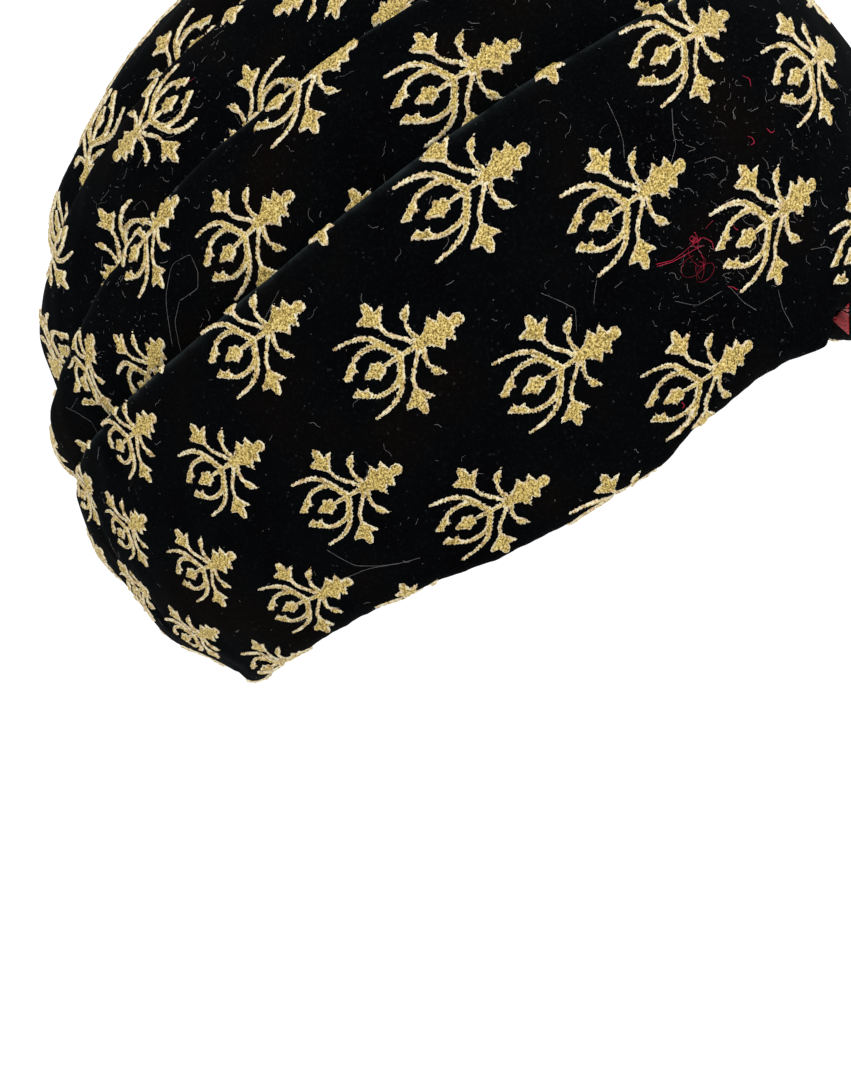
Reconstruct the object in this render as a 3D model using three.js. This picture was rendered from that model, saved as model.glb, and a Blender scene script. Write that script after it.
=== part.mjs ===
// A wound velvet turban: two side wraps that cross at the forehead, two pleats, a crown and a lining.
// Millimetres, +Z up as worn. The face looks towards -Y and the wearer's right side is at -X.
// The origin is the middle of the opening, where a head fills it.
import * as THREE from "three";

const DEGREE = Math.PI / 180;

// The form under the cloth is an egg: half sizes of the surface that every layer is set out from.
const BACK_LENGTH = 132;
const FRONT_LENGTH = 119;
const HALF_WIDTH = 104;
const HALF_HEIGHT = 123;
const FRONT_FULLNESS = 0.12; // the front half is this much wider than the back half
const OPENING_DEPTH = 60; // the opening lies this far under the widest level
const RIM_SLOPE = 30.5 * DEGREE; // the rim rises from the nape to the forehead

// Layers, as heights above that surface.
const CLOTH = 2; // velvet with its backing
const LINING_CLOTH = 1.2;
const TUCKED = 2.1; // outer face of a layer where it lies under the next one
const PROUD = 9.1; // outer face at the top of a fold
const CROWN_PROUD = 11;
const TUCK_LENGTH = 13; // how far a layer runs on under the fold of the next one
const HEM_PROUD = 6;
const FACING_PROUD = -8.2; // head side of the facing that the hem turns in
const FACING_HEIGHT = 14;
const LINING_PROUD = -3.6;
const LINING_ABOVE_HEM = 15;
const LAP_RAISE = 3.1; // the right wrap rises this much where it lies on the left one
const LAP_PROUD = 5.2; // outer face of the left wrap where it lies under the right one
const LAP_HOOK = 3; // radius of the hem where a wrap ends
const LAP_FACING = 1;
const HOOK_RUN = 7; // degrees over which the facing runs out, and then the hem narrows to its hook
const SEAM_HALF_GAP = 0.3; // the two wraps meet behind at a seam
const SEAM_DIP = 1.4;
const SEAM_WIDTH = 7;

// The rounded top of a fold: distance below its edge, and its two faces.
const FOLD_SECTION = [
  { below: 0, outer: 7.6, inner: 5 },
  { below: 1.2, outer: 8.7, inner: 3.8 },
  { below: 4, outer: 9.1, inner: 3.2 },
  { below: 9, outer: 8.9, inner: 4.6 },
];
const FOLD_END = 14; // from here on down a layer is plain cloth

// Each fold as its latitude in degrees, from the back of the head round to the forehead.
const FOLDS = {
  first: { back: 6, rear: 9.7, behind: 10.6, side: 13.3, ahead: 15, temple: 17, front: 18 },
  second: { back: 14.5, rear: 20.3, behind: 27.5, side: 29.8, ahead: 31, temple: 33, front: 34 },
  third: { back: 31, rear: 38.5, behind: 46.5, side: 49, ahead: 51, temple: 52, front: 53 },
};
const FOLD_AT = { back: 180, rear: 150, behind: 120, side: 90, ahead: 60, temple: 30, front: 0 };

// The lower edge of each wrap, round from the back to its own end.
const HEMS = {
  right: [
    { at: 180, latitude: -29.5 },
    { at: 150, latitude: -28.4 },
    { at: 124, latitude: -28.4 },
    { at: 105, latitude: -31 },
    { at: 85, latitude: -30.8 },
    { at: 79, latitude: -28.6 },
    { at: 60, latitude: -27 },
  ],
  left: [
    { at: 180, latitude: -29.5 },
    { at: 130, latitude: -29 },
    { at: 90, latitude: -29.6 },
    { at: 45, latitude: -28.2 },
    { at: 22, latitude: -27.6 },
    { at: 0, latitude: -31.8 },
    { at: -20, latitude: -31 },
    { at: -38, latitude: -28 },
    { at: -54, latitude: -24 },
    { at: -72, latitude: -23 },
  ],
};

// Each wrap runs from the seam behind to its end, which slants from the first fold to the rim.
const RIGHT_END = { atFold: -12, atHem: 58 };
const LEFT_END = { atFold: -20, atHem: -72 };

const clamp = (value) => Math.min(1, Math.max(0, value));
const mix = (from, to, share) => from + (to - from) * share;

function smooth(value) {
  const share = clamp(value);
  return share * share * (3 - 2 * share);
}

// A smooth curve through rows of { at, latitude }, whose slope is level at the two ends.
function through(rows, at) {
  const last = rows.length - 1;
  const slope = (i) =>
    i === 0 || i === last
      ? 0
      : (rows[i + 1].latitude - rows[i - 1].latitude) / (rows[i + 1].at - rows[i - 1].at);
  let i = 0;
  while (i < last - 1 && at < rows[i + 1].at) i += 1;
  const from = rows[i];
  const to = rows[i + 1];
  const span = to.at - from.at;
  const t = clamp((at - from.at) / span);
  const bend = t * t * (3 - 2 * t);
  const leave = t * (1 - t) * (1 - t) * span * slope(i);
  const arrive = t * t * (t - 1) * span * slope(i + 1);
  return mix(from.latitude, to.latitude, bend) + leave + arrive;
}

const foldRows = (fold) =>
  Object.keys(FOLD_AT).map((place) => ({ at: FOLD_AT[place], latitude: fold[place] }));

const foldLatitude = (fold, round) => through(foldRows(fold), Math.abs(round));

// Millimetres along a meridian as degrees of latitude, and back.
const MILLIMETRES_PER_DEGREE = (HALF_HEIGHT + HEM_PROUD) * DEGREE;

// A point on the form: round is 0 at the forehead, 90 at the right ear and 180 behind.
function onForm(round, latitude) {
  const a = round * DEGREE;
  const b = latitude * DEGREE;
  const length = Math.cos(a) > 0 ? FRONT_LENGTH : BACK_LENGTH;
  return new THREE.Vector3(
    -HALF_WIDTH * Math.cos(b) * Math.sin(a) * (1 + FRONT_FULLNESS * Math.cos(a)),
    -length * Math.cos(b) * Math.cos(a),
    OPENING_DEPTH + HALF_HEIGHT * Math.sin(b),
  );
}

function outwards(round, latitude) {
  const step = 0.05;
  const level = Math.min(latitude, 90 - 2 * step);
  const along = onForm(round + step, level).sub(onForm(round - step, level));
  const up = onForm(round, level + step).sub(onForm(round, level - step));
  return up.cross(along).normalize();
}

// Gathers behind and a slow unevenness all round, which the outer layers follow alike.
const GATHER_DEPTH = 1.1;
const GATHER_REACH = 26;
const GATHERS_PER_DEGREE = 0.42;
const UNEVEN = 0.9;
const SOFT_RISE = 3.5; // it comes in over this height above the lining

function softness(round, latitude) {
  const behind = 180 - Math.abs(round);
  const gathers = Math.exp(-((behind / GATHER_REACH) ** 2)) * Math.cos(latitude * GATHERS_PER_DEGREE);
  const slow = Math.sin(3 * round * DEGREE + 0.7) * Math.cos(latitude * DEGREE);
  return GATHER_DEPTH * gathers + UNEVEN * slow;
}

function pointAt(round, latitude, height) {
  const share = smooth((height - LINING_PROUD) / SOFT_RISE);
  const lift = height + share * softness(round, latitude);
  return onForm(round, latitude).addScaledVector(outwards(round, latitude), lift);
}

function volumeOf(places, triangles) {
  const corner = (i) => new THREE.Vector3().fromArray(places, 3 * triangles[i]);
  let volume = 0;
  for (let i = 0; i < triangles.length; i += 3) {
    volume += corner(i).dot(corner(i + 1).cross(corner(i + 2))) / 6;
  }
  return volume;
}

// A closed body from two grids of points, the outer and the inner face of a sheet.
function sheetBody(outer, inner, closedRing) {
  const places = [];
  const known = new Map();
  const triangles = [];
  const indexOf = (point) => {
    const key = point.toArray().map((value) => value.toFixed(4)).join(" ");
    if (!known.has(key)) {
      known.set(key, places.length / 3);
      places.push(point.x, point.y, point.z);
    }
    return known.get(key);
  };
  const triangle = (a, b, c) => {
    const corners = [a, b, c].map(indexOf);
    if (new Set(corners).size === 3) triangles.push(...corners);
  };
  const quad = (a, b, c, d) => {
    triangle(a, b, c);
    triangle(a, c, d);
  };
  const rows = outer.length;
  const columns = outer[0].length;
  const steps = closedRing ? columns : columns - 1;
  for (let i = 0; i < rows - 1; i += 1) {
    for (let j = 0; j < steps; j += 1) {
      const next = (j + 1) % columns;
      quad(outer[i][j], outer[i + 1][j], outer[i + 1][next], outer[i][next]);
      quad(inner[i][next], inner[i + 1][next], inner[i + 1][j], inner[i][j]);
    }
    if (!closedRing) {
      const end = columns - 1;
      quad(inner[i][0], inner[i + 1][0], outer[i + 1][0], outer[i][0]);
      quad(outer[i][end], outer[i + 1][end], inner[i + 1][end], inner[i][end]);
    }
  }
  for (let j = 0; j < steps; j += 1) {
    const next = (j + 1) % columns;
    const bottom = rows - 1;
    quad(inner[0][j], outer[0][j], outer[0][next], inner[0][next]);
    quad(outer[bottom][j], inner[bottom][j], inner[bottom][next], outer[bottom][next]);
  }
  // A mirrored grid comes out facing inwards, which shows as a volume below zero.
  if (volumeOf(places, triangles) < 0) triangles.reverse();
  const geometry = new THREE.BufferGeometry();
  geometry.setAttribute("position", new THREE.Float32BufferAttribute(places, 3));
  geometry.setIndex(triangles);
  geometry.computeVertexNormals();
  return geometry;
}

// Turns a section, given for each place round the head, into the two grids of a sheet.
// hand is 1 where round runs to the wearer's right, and -1 on the mirrored side.
function grids(stations, columns, hand, sectionAt) {
  const outer = [];
  const inner = [];
  for (let i = 0; i < stations; i += 1) {
    const pairs = columns.map((column) => sectionAt(i, column));
    outer.push(pairs.map((pair) => pointAt(hand * pair.round, pair.outerLatitude, pair.outer)));
    inner.push(pairs.map((pair) => pointAt(hand * pair.round, pair.innerLatitude, pair.inner)));
  }
  return [outer, inner];
}

const ringColumns = (count) => Array.from({ length: count }, (_, j) => 180 - (j * 360) / count);

// Pleats: a fold on top, a full face, and an edge tucked under the fold below.
const PLEAT_COLUMNS = 44;
const PLEAT_FACE_STATIONS = 3;
const TUCK_STATIONS = [1, TUCK_LENGTH];

function pleatFace(below, width) {
  const fall = (below - FOLD_SECTION[2].below) / (width - FOLD_SECTION[2].below + 1);
  return TUCKED + (PROUD - TUCKED) * (1 - clamp(fall) ** 2);
}

function pleat(upperFold, lowerFold) {
  const first = FOLD_SECTION.length;
  const stations = first + PLEAT_FACE_STATIONS + TUCK_STATIONS.length;
  const section = (i, round) => {
    const top = foldLatitude(upperFold, round);
    const width = (top - foldLatitude(lowerFold, round)) * MILLIMETRES_PER_DEGREE;
    let below;
    let outer;
    let inner;
    if (i < first) {
      ({ below, outer, inner } = FOLD_SECTION[i]);
    } else {
      const share = (i - first) / PLEAT_FACE_STATIONS;
      const tuck = TUCK_STATIONS[i - first - PLEAT_FACE_STATIONS];
      below = tuck === undefined ? mix(FOLD_END, width, share) : width + tuck;
      outer = pleatFace(below, width);
      inner = outer - CLOTH;
    }
    const latitude = top - below / MILLIMETRES_PER_DEGREE;
    return { round, outerLatitude: latitude, innerLatitude: latitude, outer, inner };
  };
  const [outer, inner] = grids(stations, ringColumns(PLEAT_COLUMNS), 1, section);
  return sheetBody(outer, inner, true);
}

// Wraps: a fold on top, a long face, a rolled hem and the facing that it turns in.
const WRAP_FACE_STATIONS = 4;
const ROLL_STATIONS = 5;
const FACING_STATIONS = 2;
const WRAP_FULLNESS = 1.6; // the face swells this much halfway down
const END_STEPS = [0, 1.6, 5, 12]; // columns near the slanted end, in millimetres from it
const DEGREE_LENGTH = 2.1; // millimetres round the head for each degree, near the end

function wrap({ hand, hem, end, columns, laid, lowered }) {
  const first = FOLD_SECTION.length;
  const rollAt = first + WRAP_FACE_STATIONS;
  const stations = rollAt + ROLL_STATIONS + FACING_STATIONS;
  const section = (i, column) => {
    const down = clamp((i - 1) / (rollAt - 1));
    const last = mix(end.atFold, end.atHem, down);
    const start = 180 - SEAM_HALF_GAP / DEGREE_LENGTH;
    const fromEnd = column.fromEnd === undefined ? undefined : column.fromEnd / DEGREE_LENGTH;
    const lastPlain = last + END_STEPS.at(-1) / DEGREE_LENGTH;
    const round = fromEnd === undefined ? mix(start, lastPlain, column.share) : last + fromEnd;
    const raised = smooth((laid(down) + 15 - round) / 12);
    const low = smooth((lowered(down) + 14 - round) / 10);
    const closing = smooth((hem.closeAt - round) / HOOK_RUN + 1);
    const shortened = smooth((hem.closeAt - round) / HOOK_RUN + 2);

    const top = foldLatitude(FOLDS.first, round);
    const bottom = through(hem.rows, round);
    const width = (top - bottom) * MILLIMETRES_PER_DEGREE;
    const seam = SEAM_DIP * smooth(1 - ((180 - round) * DEGREE_LENGTH) / SEAM_WIDTH);
    const hemHeight = mix(HEM_PROUD, LAP_PROUD, low) + LAP_RAISE * raised - seam;
    const radius = mix((hemHeight - FACING_PROUD) / 2, LAP_HOOK, closing);
    const facing = mix(FACING_HEIGHT, LAP_FACING, shortened);
    const roundStart = width - radius;
    const centre = hemHeight - radius;
    let below;
    let belowInner;
    let outer;
    let inner;
    if (i < first) {
      const plain = FOLD_SECTION[i];
      below = plain.below;
      belowInner = below;
      outer = mix(plain.outer - seam, LAP_PROUD, low) + LAP_RAISE * raised;
      inner = mix(plain.inner - seam / 2, LAP_PROUD - CLOTH, low) + LAP_RAISE * raised;
    } else if (i <= rollAt) {
      const share = (i - first) / WRAP_FACE_STATIONS;
      below = mix(FOLD_END, roundStart, share);
      belowInner = below;
      const face = mix(PROUD - seam, hemHeight, share) + WRAP_FULLNESS * Math.sin(Math.PI * share);
      outer = mix(face + LAP_RAISE * raised * (1 - share), mix(LAP_PROUD, hemHeight, share), low);
      inner = outer - CLOTH;
    } else if (i < rollAt + ROLL_STATIONS) {
      const turn = (Math.PI * (i - rollAt)) / (ROLL_STATIONS - 1);
      below = roundStart + radius * Math.sin(turn);
      outer = centre + radius * Math.cos(turn);
      belowInner = roundStart + (radius - CLOTH) * Math.sin(turn);
      inner = centre + (radius - CLOTH) * Math.cos(turn);
    } else {
      const share = (i - rollAt - ROLL_STATIONS + 1) / FACING_STATIONS;
      below = roundStart - facing * share;
      belowInner = below;
      outer = centre - radius;
      inner = outer + CLOTH;
    }
    return {
      round,
      outerLatitude: top - below / MILLIMETRES_PER_DEGREE,
      innerLatitude: top - belowInner / MILLIMETRES_PER_DEGREE,
      outer,
      inner,
    };
  };
  const plainColumns = Array.from({ length: columns }, (_, j) => ({ share: j / columns }));
  const endColumns = [...END_STEPS].reverse().map((fromEnd) => ({ fromEnd }));
  const [outer, inner] = grids(stations, [...plainColumns, ...endColumns], hand, section);
  return sheetBody(outer, inner, false);
}

const RIGHT_WRAP = {
  hand: 1,
  hem: { rows: HEMS.right, closeAt: RIGHT_END.atHem },
  end: RIGHT_END,
  columns: 28,
  laid: (down) => -mix(LEFT_END.atFold, LEFT_END.atHem, down),
  lowered: () => -360,
};

const LEFT_WRAP = {
  hand: -1,
  hem: { rows: HEMS.left, closeAt: -RIGHT_END.atHem + 12 },
  end: LEFT_END,
  columns: 34,
  laid: () => -360,
  lowered: (down) => -mix(RIGHT_END.atFold, RIGHT_END.atHem, down),
};

// The crown runs up from under the third fold and closes over the top.
const CROWN_RISE = 24; // millimetres from the fold to its full height
const CROWN_STATIONS = [0.14, 0.34, 0.58, 0.8, 1];

function crown() {
  const under = [-TUCK_LENGTH, -1, CROWN_RISE / 3];
  const section = (i, round) => {
    const base = foldLatitude(FOLDS.third, round);
    const start = base + under.at(-1) / MILLIMETRES_PER_DEGREE;
    const share = CROWN_STATIONS[i - under.length];
    const latitude = i < under.length ? base + under[i] / MILLIMETRES_PER_DEGREE : mix(start, 90, share);
    const above = (latitude - base) * MILLIMETRES_PER_DEGREE;
    const rise = Math.sin((Math.PI / 2) * clamp(above / CROWN_RISE));
    const outer = mix(TUCKED, CROWN_PROUD, above < 0 ? 0 : rise);
    return { round, outerLatitude: latitude, innerLatitude: latitude, outer, inner: outer - CLOTH };
  };
  const stations = under.length + CROWN_STATIONS.length;
  const [outer, inner] = grids(stations, ringColumns(PLEAT_COLUMNS), 1, section);
  return sheetBody(outer, inner, true);
}

// The lining is a cap inside, whose edge lies behind the facings.
const LINING_COLUMNS = 44;
const LINING_STATIONS = [0, 0.1, 0.22, 0.36, 0.52, 0.68, 0.84, 1];

function lining() {
  const section = (i, round) => {
    const right = through(HEMS.right, Math.max(round, HEMS.right.at(-1).at));
    const left = through(HEMS.left, -round);
    const overRight = smooth((round - RIGHT_END.atHem) / 12);
    const hem = mix(left, right, overRight) + LINING_ABOVE_HEM / MILLIMETRES_PER_DEGREE;
    const latitude = mix(hem, 90, LINING_STATIONS[i]);
    const inner = LINING_PROUD - LINING_CLOTH;
    return { round, outerLatitude: latitude, innerLatitude: latitude, outer: LINING_PROUD, inner };
  };
  const [outer, inner] = grids(LINING_STATIONS.length, ringColumns(LINING_COLUMNS), 1, section);
  return sheetBody(outer, inner, true);
}

const velvet = (color) => new THREE.MeshStandardMaterial({ color, roughness: 0.95, metalness: 0 });

const turban = new THREE.Group();
turban.rotation.x = -RIM_SLOPE;

const PIECES = [
  { name: "lining", geometry: lining(), material: velvet(0x8e1420) },
  { name: "right_wrap", geometry: wrap(RIGHT_WRAP), material: velvet(0x0b0c0f) },
  { name: "left_wrap", geometry: wrap(LEFT_WRAP), material: velvet(0x0b0c0f) },
  { name: "lower_pleat", geometry: pleat(FOLDS.second, FOLDS.first), material: velvet(0x0e0f12) },
  { name: "upper_pleat", geometry: pleat(FOLDS.third, FOLDS.second), material: velvet(0x0e0f12) },
  { name: "crown", geometry: crown(), material: velvet(0x101114) },
];

for (const { name, geometry, material } of PIECES) {
  const piece = new THREE.Mesh(geometry, material);
  piece.name = name;
  turban.add(piece);
}

const part = new THREE.Group();
part.add(turban);

export default part;
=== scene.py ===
"""A ready-wound velvet turban, laid out as a Blender add-on.

Two side wraps cross at the forehead, two pleats and a crown close the top, and a red lining sits inside.
The forms below repeat those of the CAD part, in millimetres, and every mesh is made in metres.
"""

import functools
import itertools
import math
import random

import bpy
import numpy as np
from bpy.props import FloatProperty, FloatVectorProperty, IntProperty, PointerProperty
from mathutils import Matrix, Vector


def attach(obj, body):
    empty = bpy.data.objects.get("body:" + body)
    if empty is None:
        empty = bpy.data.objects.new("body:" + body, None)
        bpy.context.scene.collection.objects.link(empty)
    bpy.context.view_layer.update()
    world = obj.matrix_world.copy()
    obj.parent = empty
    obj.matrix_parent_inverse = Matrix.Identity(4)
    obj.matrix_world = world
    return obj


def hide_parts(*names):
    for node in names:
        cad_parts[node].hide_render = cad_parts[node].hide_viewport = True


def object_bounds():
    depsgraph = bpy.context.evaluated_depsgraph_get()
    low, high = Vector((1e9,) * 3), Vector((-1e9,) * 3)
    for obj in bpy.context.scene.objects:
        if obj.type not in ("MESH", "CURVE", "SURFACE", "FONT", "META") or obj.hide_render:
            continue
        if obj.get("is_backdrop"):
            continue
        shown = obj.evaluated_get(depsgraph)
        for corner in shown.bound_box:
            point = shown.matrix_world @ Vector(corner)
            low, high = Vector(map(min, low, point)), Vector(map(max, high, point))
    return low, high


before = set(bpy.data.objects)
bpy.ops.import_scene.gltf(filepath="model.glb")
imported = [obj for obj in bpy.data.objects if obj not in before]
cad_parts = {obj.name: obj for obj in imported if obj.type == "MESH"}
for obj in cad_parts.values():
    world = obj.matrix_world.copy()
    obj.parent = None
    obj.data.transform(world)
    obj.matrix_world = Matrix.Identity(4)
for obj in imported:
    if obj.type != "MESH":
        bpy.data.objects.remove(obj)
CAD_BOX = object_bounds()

bl_info = {
    "name": "Velvet Turban",
    "version": (1, 0, 0),
    "blender": (4, 5, 0),
    "location": "View3D > Sidebar > Turban",
    "description": "Makes a ready-wound velvet turban with gold thread sprigs",
    "category": "Add Mesh",
}

SEED = 7


def linear(hex_colour):
    """An sRGB hex value as the linear colour that Blender's shaders take."""
    levels = [int(hex_colour[i : i + 2], 16) / 255 for i in (1, 3, 5)]
    return tuple(v / 12.92 if v <= 0.04045 else ((v + 0.055) / 1.055) ** 2.4 for v in levels)


# The form under the cloth

BACK_LENGTH = 132.0
FRONT_LENGTH = 119.0
HALF_WIDTH = 104.0
HALF_HEIGHT = 123.0
FRONT_FULLNESS = 0.12
OPENING_DEPTH = 60.0
RIM_SLOPE = math.radians(30.5)

CLOTH = 2.0
LINING_CLOTH = 1.2
TUCKED = 2.1
PROUD = 9.1
CROWN_PROUD = 11.0
CROWN_RISE = 24.0
TUCK_LENGTH = 13.0
HEM_PROUD = 6.0
FACING_PROUD = -8.2
FACING_HEIGHT = 14.0
LINING_PROUD = -3.6
LINING_ABOVE_HEM = 15.0
LAP_RAISE = 3.1
LAP_PROUD = 5.2
LAP_HOOK = 3.0
LAP_FACING = 1.0
HOOK_RUN = 7.0
SEAM_HALF_GAP = 0.03
SEAM_DIP = 1.4
SEAM_WIDTH = 7.0
WRAP_FULLNESS = 1.6
END_ROUNDING = 1.0
HEM_STRIP = 8.0
HEM_GROOVE = 0.5
DEGREE_LENGTH = 2.1
MM_PER_DEGREE = math.radians(HALF_HEIGHT + HEM_PROUD)
FOLD_RADIUS = 2.95
FOLD_MIDDLE = 6.15
FOLD_END = 14.0
# Millimetres below a fold's top over which its painted sheen highlight fades.
SHEEN_REACH = 1.3

# Each fold: degrees round from the forehead, and its latitude there.
FOLDS = {
    "first": ((180, 6), (150, 9.7), (120, 10.6), (90, 13.3), (60, 15), (30, 17), (0, 18)),
    "second": ((180, 14.5), (150, 20.3), (120, 27.5), (90, 29.8), (60, 31), (30, 33), (0, 34)),
    "third": ((180, 31), (150, 38.5), (120, 46.5), (90, 49), (60, 51), (30, 52), (0, 53)),
}

# Each hem, round from the seam behind to the end of its own wrap.
HEMS = {
    "right": ((180, -29.5), (150, -28.4), (124, -28.4), (105, -31), (85, -30.8), (79, -28.6), (60, -27)),
    "left": (
        (180, -29.5),
        (130, -29),
        (90, -29.6),
        (45, -28.2),
        (22, -27.6),
        (0, -31.8),
        (-20, -31),
        (-38, -28),
        (-54, -24),
        (-72, -23),
    ),
}
FAR_OFF = -360.0
# Degrees over which the upper wrap rises at the lap, and the lower one sinks.
RISE_START = 15.0
RISE_RUN = 12.0
SINK_START = 14.0
SINK_RUN = 10.0
SEAM_FOLD_SHARE = 0.75
# A fold is solid cloth for some millimetres below its top, and then thins to one layer at its end.
FOLD_SOLID = 9.0
FOLD_INSIDE = 4.6
THINNEST = 0.8
WRAPS = {
    "right": {"hand": 1, "at_fold": -12.0, "at_hem": 58.0, "close_at": 58.0},
    "left": {"hand": -1, "at_fold": -20.0, "at_hem": -72.0, "close_at": -46.0},
}

# Soft creases pressed into the outer cloth: where they run, in degrees, and their size in millimetres.
CREASES = (
    {"around": 143.0, "slant": 0.25, "low": 2.0, "high": 17.0, "depth": 1.3, "width": 2.2},
    {"around": 131.0, "slant": 0.15, "low": 22.0, "high": 36.0, "depth": 0.9, "width": 2.6},
    {"around": -118.0, "slant": 0.3, "low": -6.0, "high": 12.0, "depth": 1.0, "width": 2.4},
    {"around": 164.0, "slant": -0.3, "low": -20.0, "high": 4.0, "depth": 0.9, "width": 2.4},
)
# Depths in millimetres, and pitches for each degree.
GATHERS = {"depth": 1.1, "spread": 26.0, "pitch": 0.42}
UNEVENNESS = {"depth": 0.9, "waves": 3, "start": 0.7}
RIPPLES = (
    {"depth": 0.22, "round": 0.31, "up": 0.17, "start": 0.0},
    {"depth": 0.18, "round": 0.47, "up": -0.36, "start": 1.3},
    {"depth": 0.14, "round": 0.93, "up": 0.61, "start": 0.4},
)
HEM_RIPPLES = (
    {"depth": 0.07, "round": 0.55, "start": 0.8},
    {"depth": 0.05, "round": 1.31, "start": 0.0},
    {"depth": 0.03, "round": 2.9, "start": 2.0},
)


def mix(start, end, share):
    return start + (end - start) * share


def smooth(value):
    share = np.clip(value, 0, 1)
    return share * share * (3 - 2 * share)


def through(rows, at):
    """A smooth curve through (place, level) rows whose places fall, level at both ends."""
    places, levels = (np.array(column, float) for column in zip(*rows))
    slopes = np.zeros_like(levels)
    slopes[1:-1] = (levels[2:] - levels[:-2]) / (places[2:] - places[:-2])
    at = np.clip(at, places[-1], places[0])
    i = np.clip(np.searchsorted(-places, -at, side="right") - 1, 0, len(rows) - 2)
    span = places[i + 1] - places[i]
    t = (at - places[i]) / span
    leave = t * (1 - t) ** 2 * span * slopes[i]
    arrive = t * t * (t - 1) * span * slopes[i + 1]
    return mix(levels[i], levels[i + 1], t * t * (3 - 2 * t)) + leave + arrive


def fold_latitude(name, around):
    return through(FOLDS[name], np.abs(around))


def on_form(around, latitude):
    a, b = np.radians(around), np.radians(latitude)
    length = np.where(np.cos(a) > 0, FRONT_LENGTH, BACK_LENGTH)
    x = -HALF_WIDTH * np.cos(b) * np.sin(a) * (1 + FRONT_FULLNESS * np.cos(a))
    y = -length * np.cos(b) * np.cos(a)
    z = OPENING_DEPTH + HALF_HEIGHT * np.sin(b) + 0 * a
    return np.stack(np.broadcast_arrays(x, y, z), -1)


def outwards(around, latitude):
    step = 0.05
    level = np.minimum(latitude, 90 - 2 * step)
    along = on_form(around + step, level) - on_form(around - step, level)
    up = on_form(around, level + step) - on_form(around, level - step)
    normal = np.cross(up, along)
    return normal / np.linalg.norm(normal, axis=-1, keepdims=True)


def softness(around, latitude):
    """Gathers behind, a slow unevenness all round, small ripples and pressed creases."""
    turn = (np.asarray(around) + 180) % 360 - 180
    level = np.cos(np.radians(latitude))
    from_seam = (180 - np.abs(turn)) / GATHERS["spread"]
    gathers = GATHERS["depth"] * np.exp(-(from_seam**2)) * np.cos(GATHERS["pitch"] * latitude)
    slow = UNEVENNESS["depth"] * np.sin(UNEVENNESS["waves"] * np.radians(turn) + UNEVENNESS["start"]) * level
    ripples = 0
    for ripple in RIPPLES:
        wave = np.sin(ripple["round"] * turn + ripple["up"] * latitude + ripple["start"])
        ripples = ripples + ripple["depth"] * wave
    soft = gathers + slow + ripples * level
    for crease in CREASES:
        line = crease["around"] + crease["slant"] * (latitude - crease["low"])
        off = (turn - line) * DEGREE_LENGTH / crease["width"]
        middle = (crease["low"] + crease["high"]) / 2
        reach = (crease["high"] - crease["low"]) / 2
        soft = soft - crease["depth"] * np.exp(-(off**2)) * np.exp(-(((latitude - middle) / reach) ** 4))
    return soft


def cloth_point(around, latitude, height):
    """A point of a layer in the part's own frame, in metres."""
    around, latitude, height = np.broadcast_arrays(around, latitude, height)
    share = smooth((height - LINING_PROUD) / 3.5)
    lift = height + share * softness(around, latitude)
    local = on_form(around, latitude) + outwards(around, latitude) * lift[..., None]
    x, y, z = local[..., 0], local[..., 1], local[..., 2]
    cos, sin = math.cos(RIM_SLOPE), math.sin(RIM_SLOPE)
    return np.stack([x, y * cos + z * sin, z * cos - y * sin], -1) / 1000


# The layers

def fold_drop(below, radius):
    """How far the rounded top of a fold falls away from the full height."""
    across = (radius - np.minimum(below, radius)) / radius
    return radius * (1 - np.sqrt(np.clip(1 - across**2, 0, 1)))


def fold_wear(below):
    """How strong the painted sheen highlight is near the top of a fold, where its rounded crest catches the
    light, from 0 to 1.
    """
    return np.exp(-((below / SHEEN_REACH) ** 1.5))


def hem_ripple(around):
    """A hand-turned hem isn't quite straight."""
    return sum(wave["depth"] * np.sin(wave["round"] * around + wave["start"]) for wave in HEM_RIPPLES)


def wrap_measures(side, around, down):
    """The sizes of a wrap's section. around is counted towards the wrap's own end, down from 0 to 1."""
    wrap = WRAPS[side]
    other = WRAPS["left" if side == "right" else "right"]
    lap = -mix(other["at_fold"], other["at_hem"], down)
    raised = smooth(((lap if side == "right" else FAR_OFF) + RISE_START - around) / RISE_RUN)
    low = smooth(((lap if side == "left" else FAR_OFF) + SINK_START - around) / SINK_RUN)
    closing = smooth((wrap["close_at"] - around) / HOOK_RUN + 1)
    shortened = smooth((wrap["close_at"] - around) / HOOK_RUN + 2)
    top = fold_latitude("first", around)
    bottom = through(HEMS[side], around) + hem_ripple(around) * (1 - closing)
    width = (top - bottom) * MM_PER_DEGREE
    seam = SEAM_DIP * smooth(1 - (180 - around) * DEGREE_LENGTH / SEAM_WIDTH)
    hem_height = mix(HEM_PROUD, LAP_PROUD, low) + LAP_RAISE * raised - seam
    radius = mix((hem_height - FACING_PROUD) / 2, LAP_HOOK, closing)
    fold_radius = mix(FOLD_RADIUS, CLOTH / 2, low)
    fold_middle = mix(FOLD_MIDDLE - SEAM_FOLD_SHARE * seam, LAP_PROUD - CLOTH / 2, low)
    return {
        "top": top,
        "seam": seam,
        "low": low,
        "lift": LAP_RAISE * raised,
        "hem_height": hem_height,
        "radius": radius,
        "facing": mix(FACING_HEIGHT, LAP_FACING, shortened),
        "roll_start": width - radius,
        "fold_radius": fold_radius,
        "fold_middle": fold_middle + LAP_RAISE * raised,
    }


# How far down a wrap the first millimetres below its fold are, which sets where its slanted end lies.
KNEE = ((1.2, 0.0), (4.0, 0.143), (9.0, 0.286), (FOLD_END, 0.429))


def down_share(below, roll_start):
    """How far down the wrap a place is: 0 at the fold, 1 where the hem starts to roll."""
    knee_below, knee_share = zip(*KNEE)
    tail = (below - FOLD_END) / (roll_start - FOLD_END)
    return np.where(
        below < FOLD_END,
        np.interp(below, knee_below, knee_share),
        mix(knee_share[-1], 1.0, np.clip(tail, 0, 1)),
    )


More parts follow.
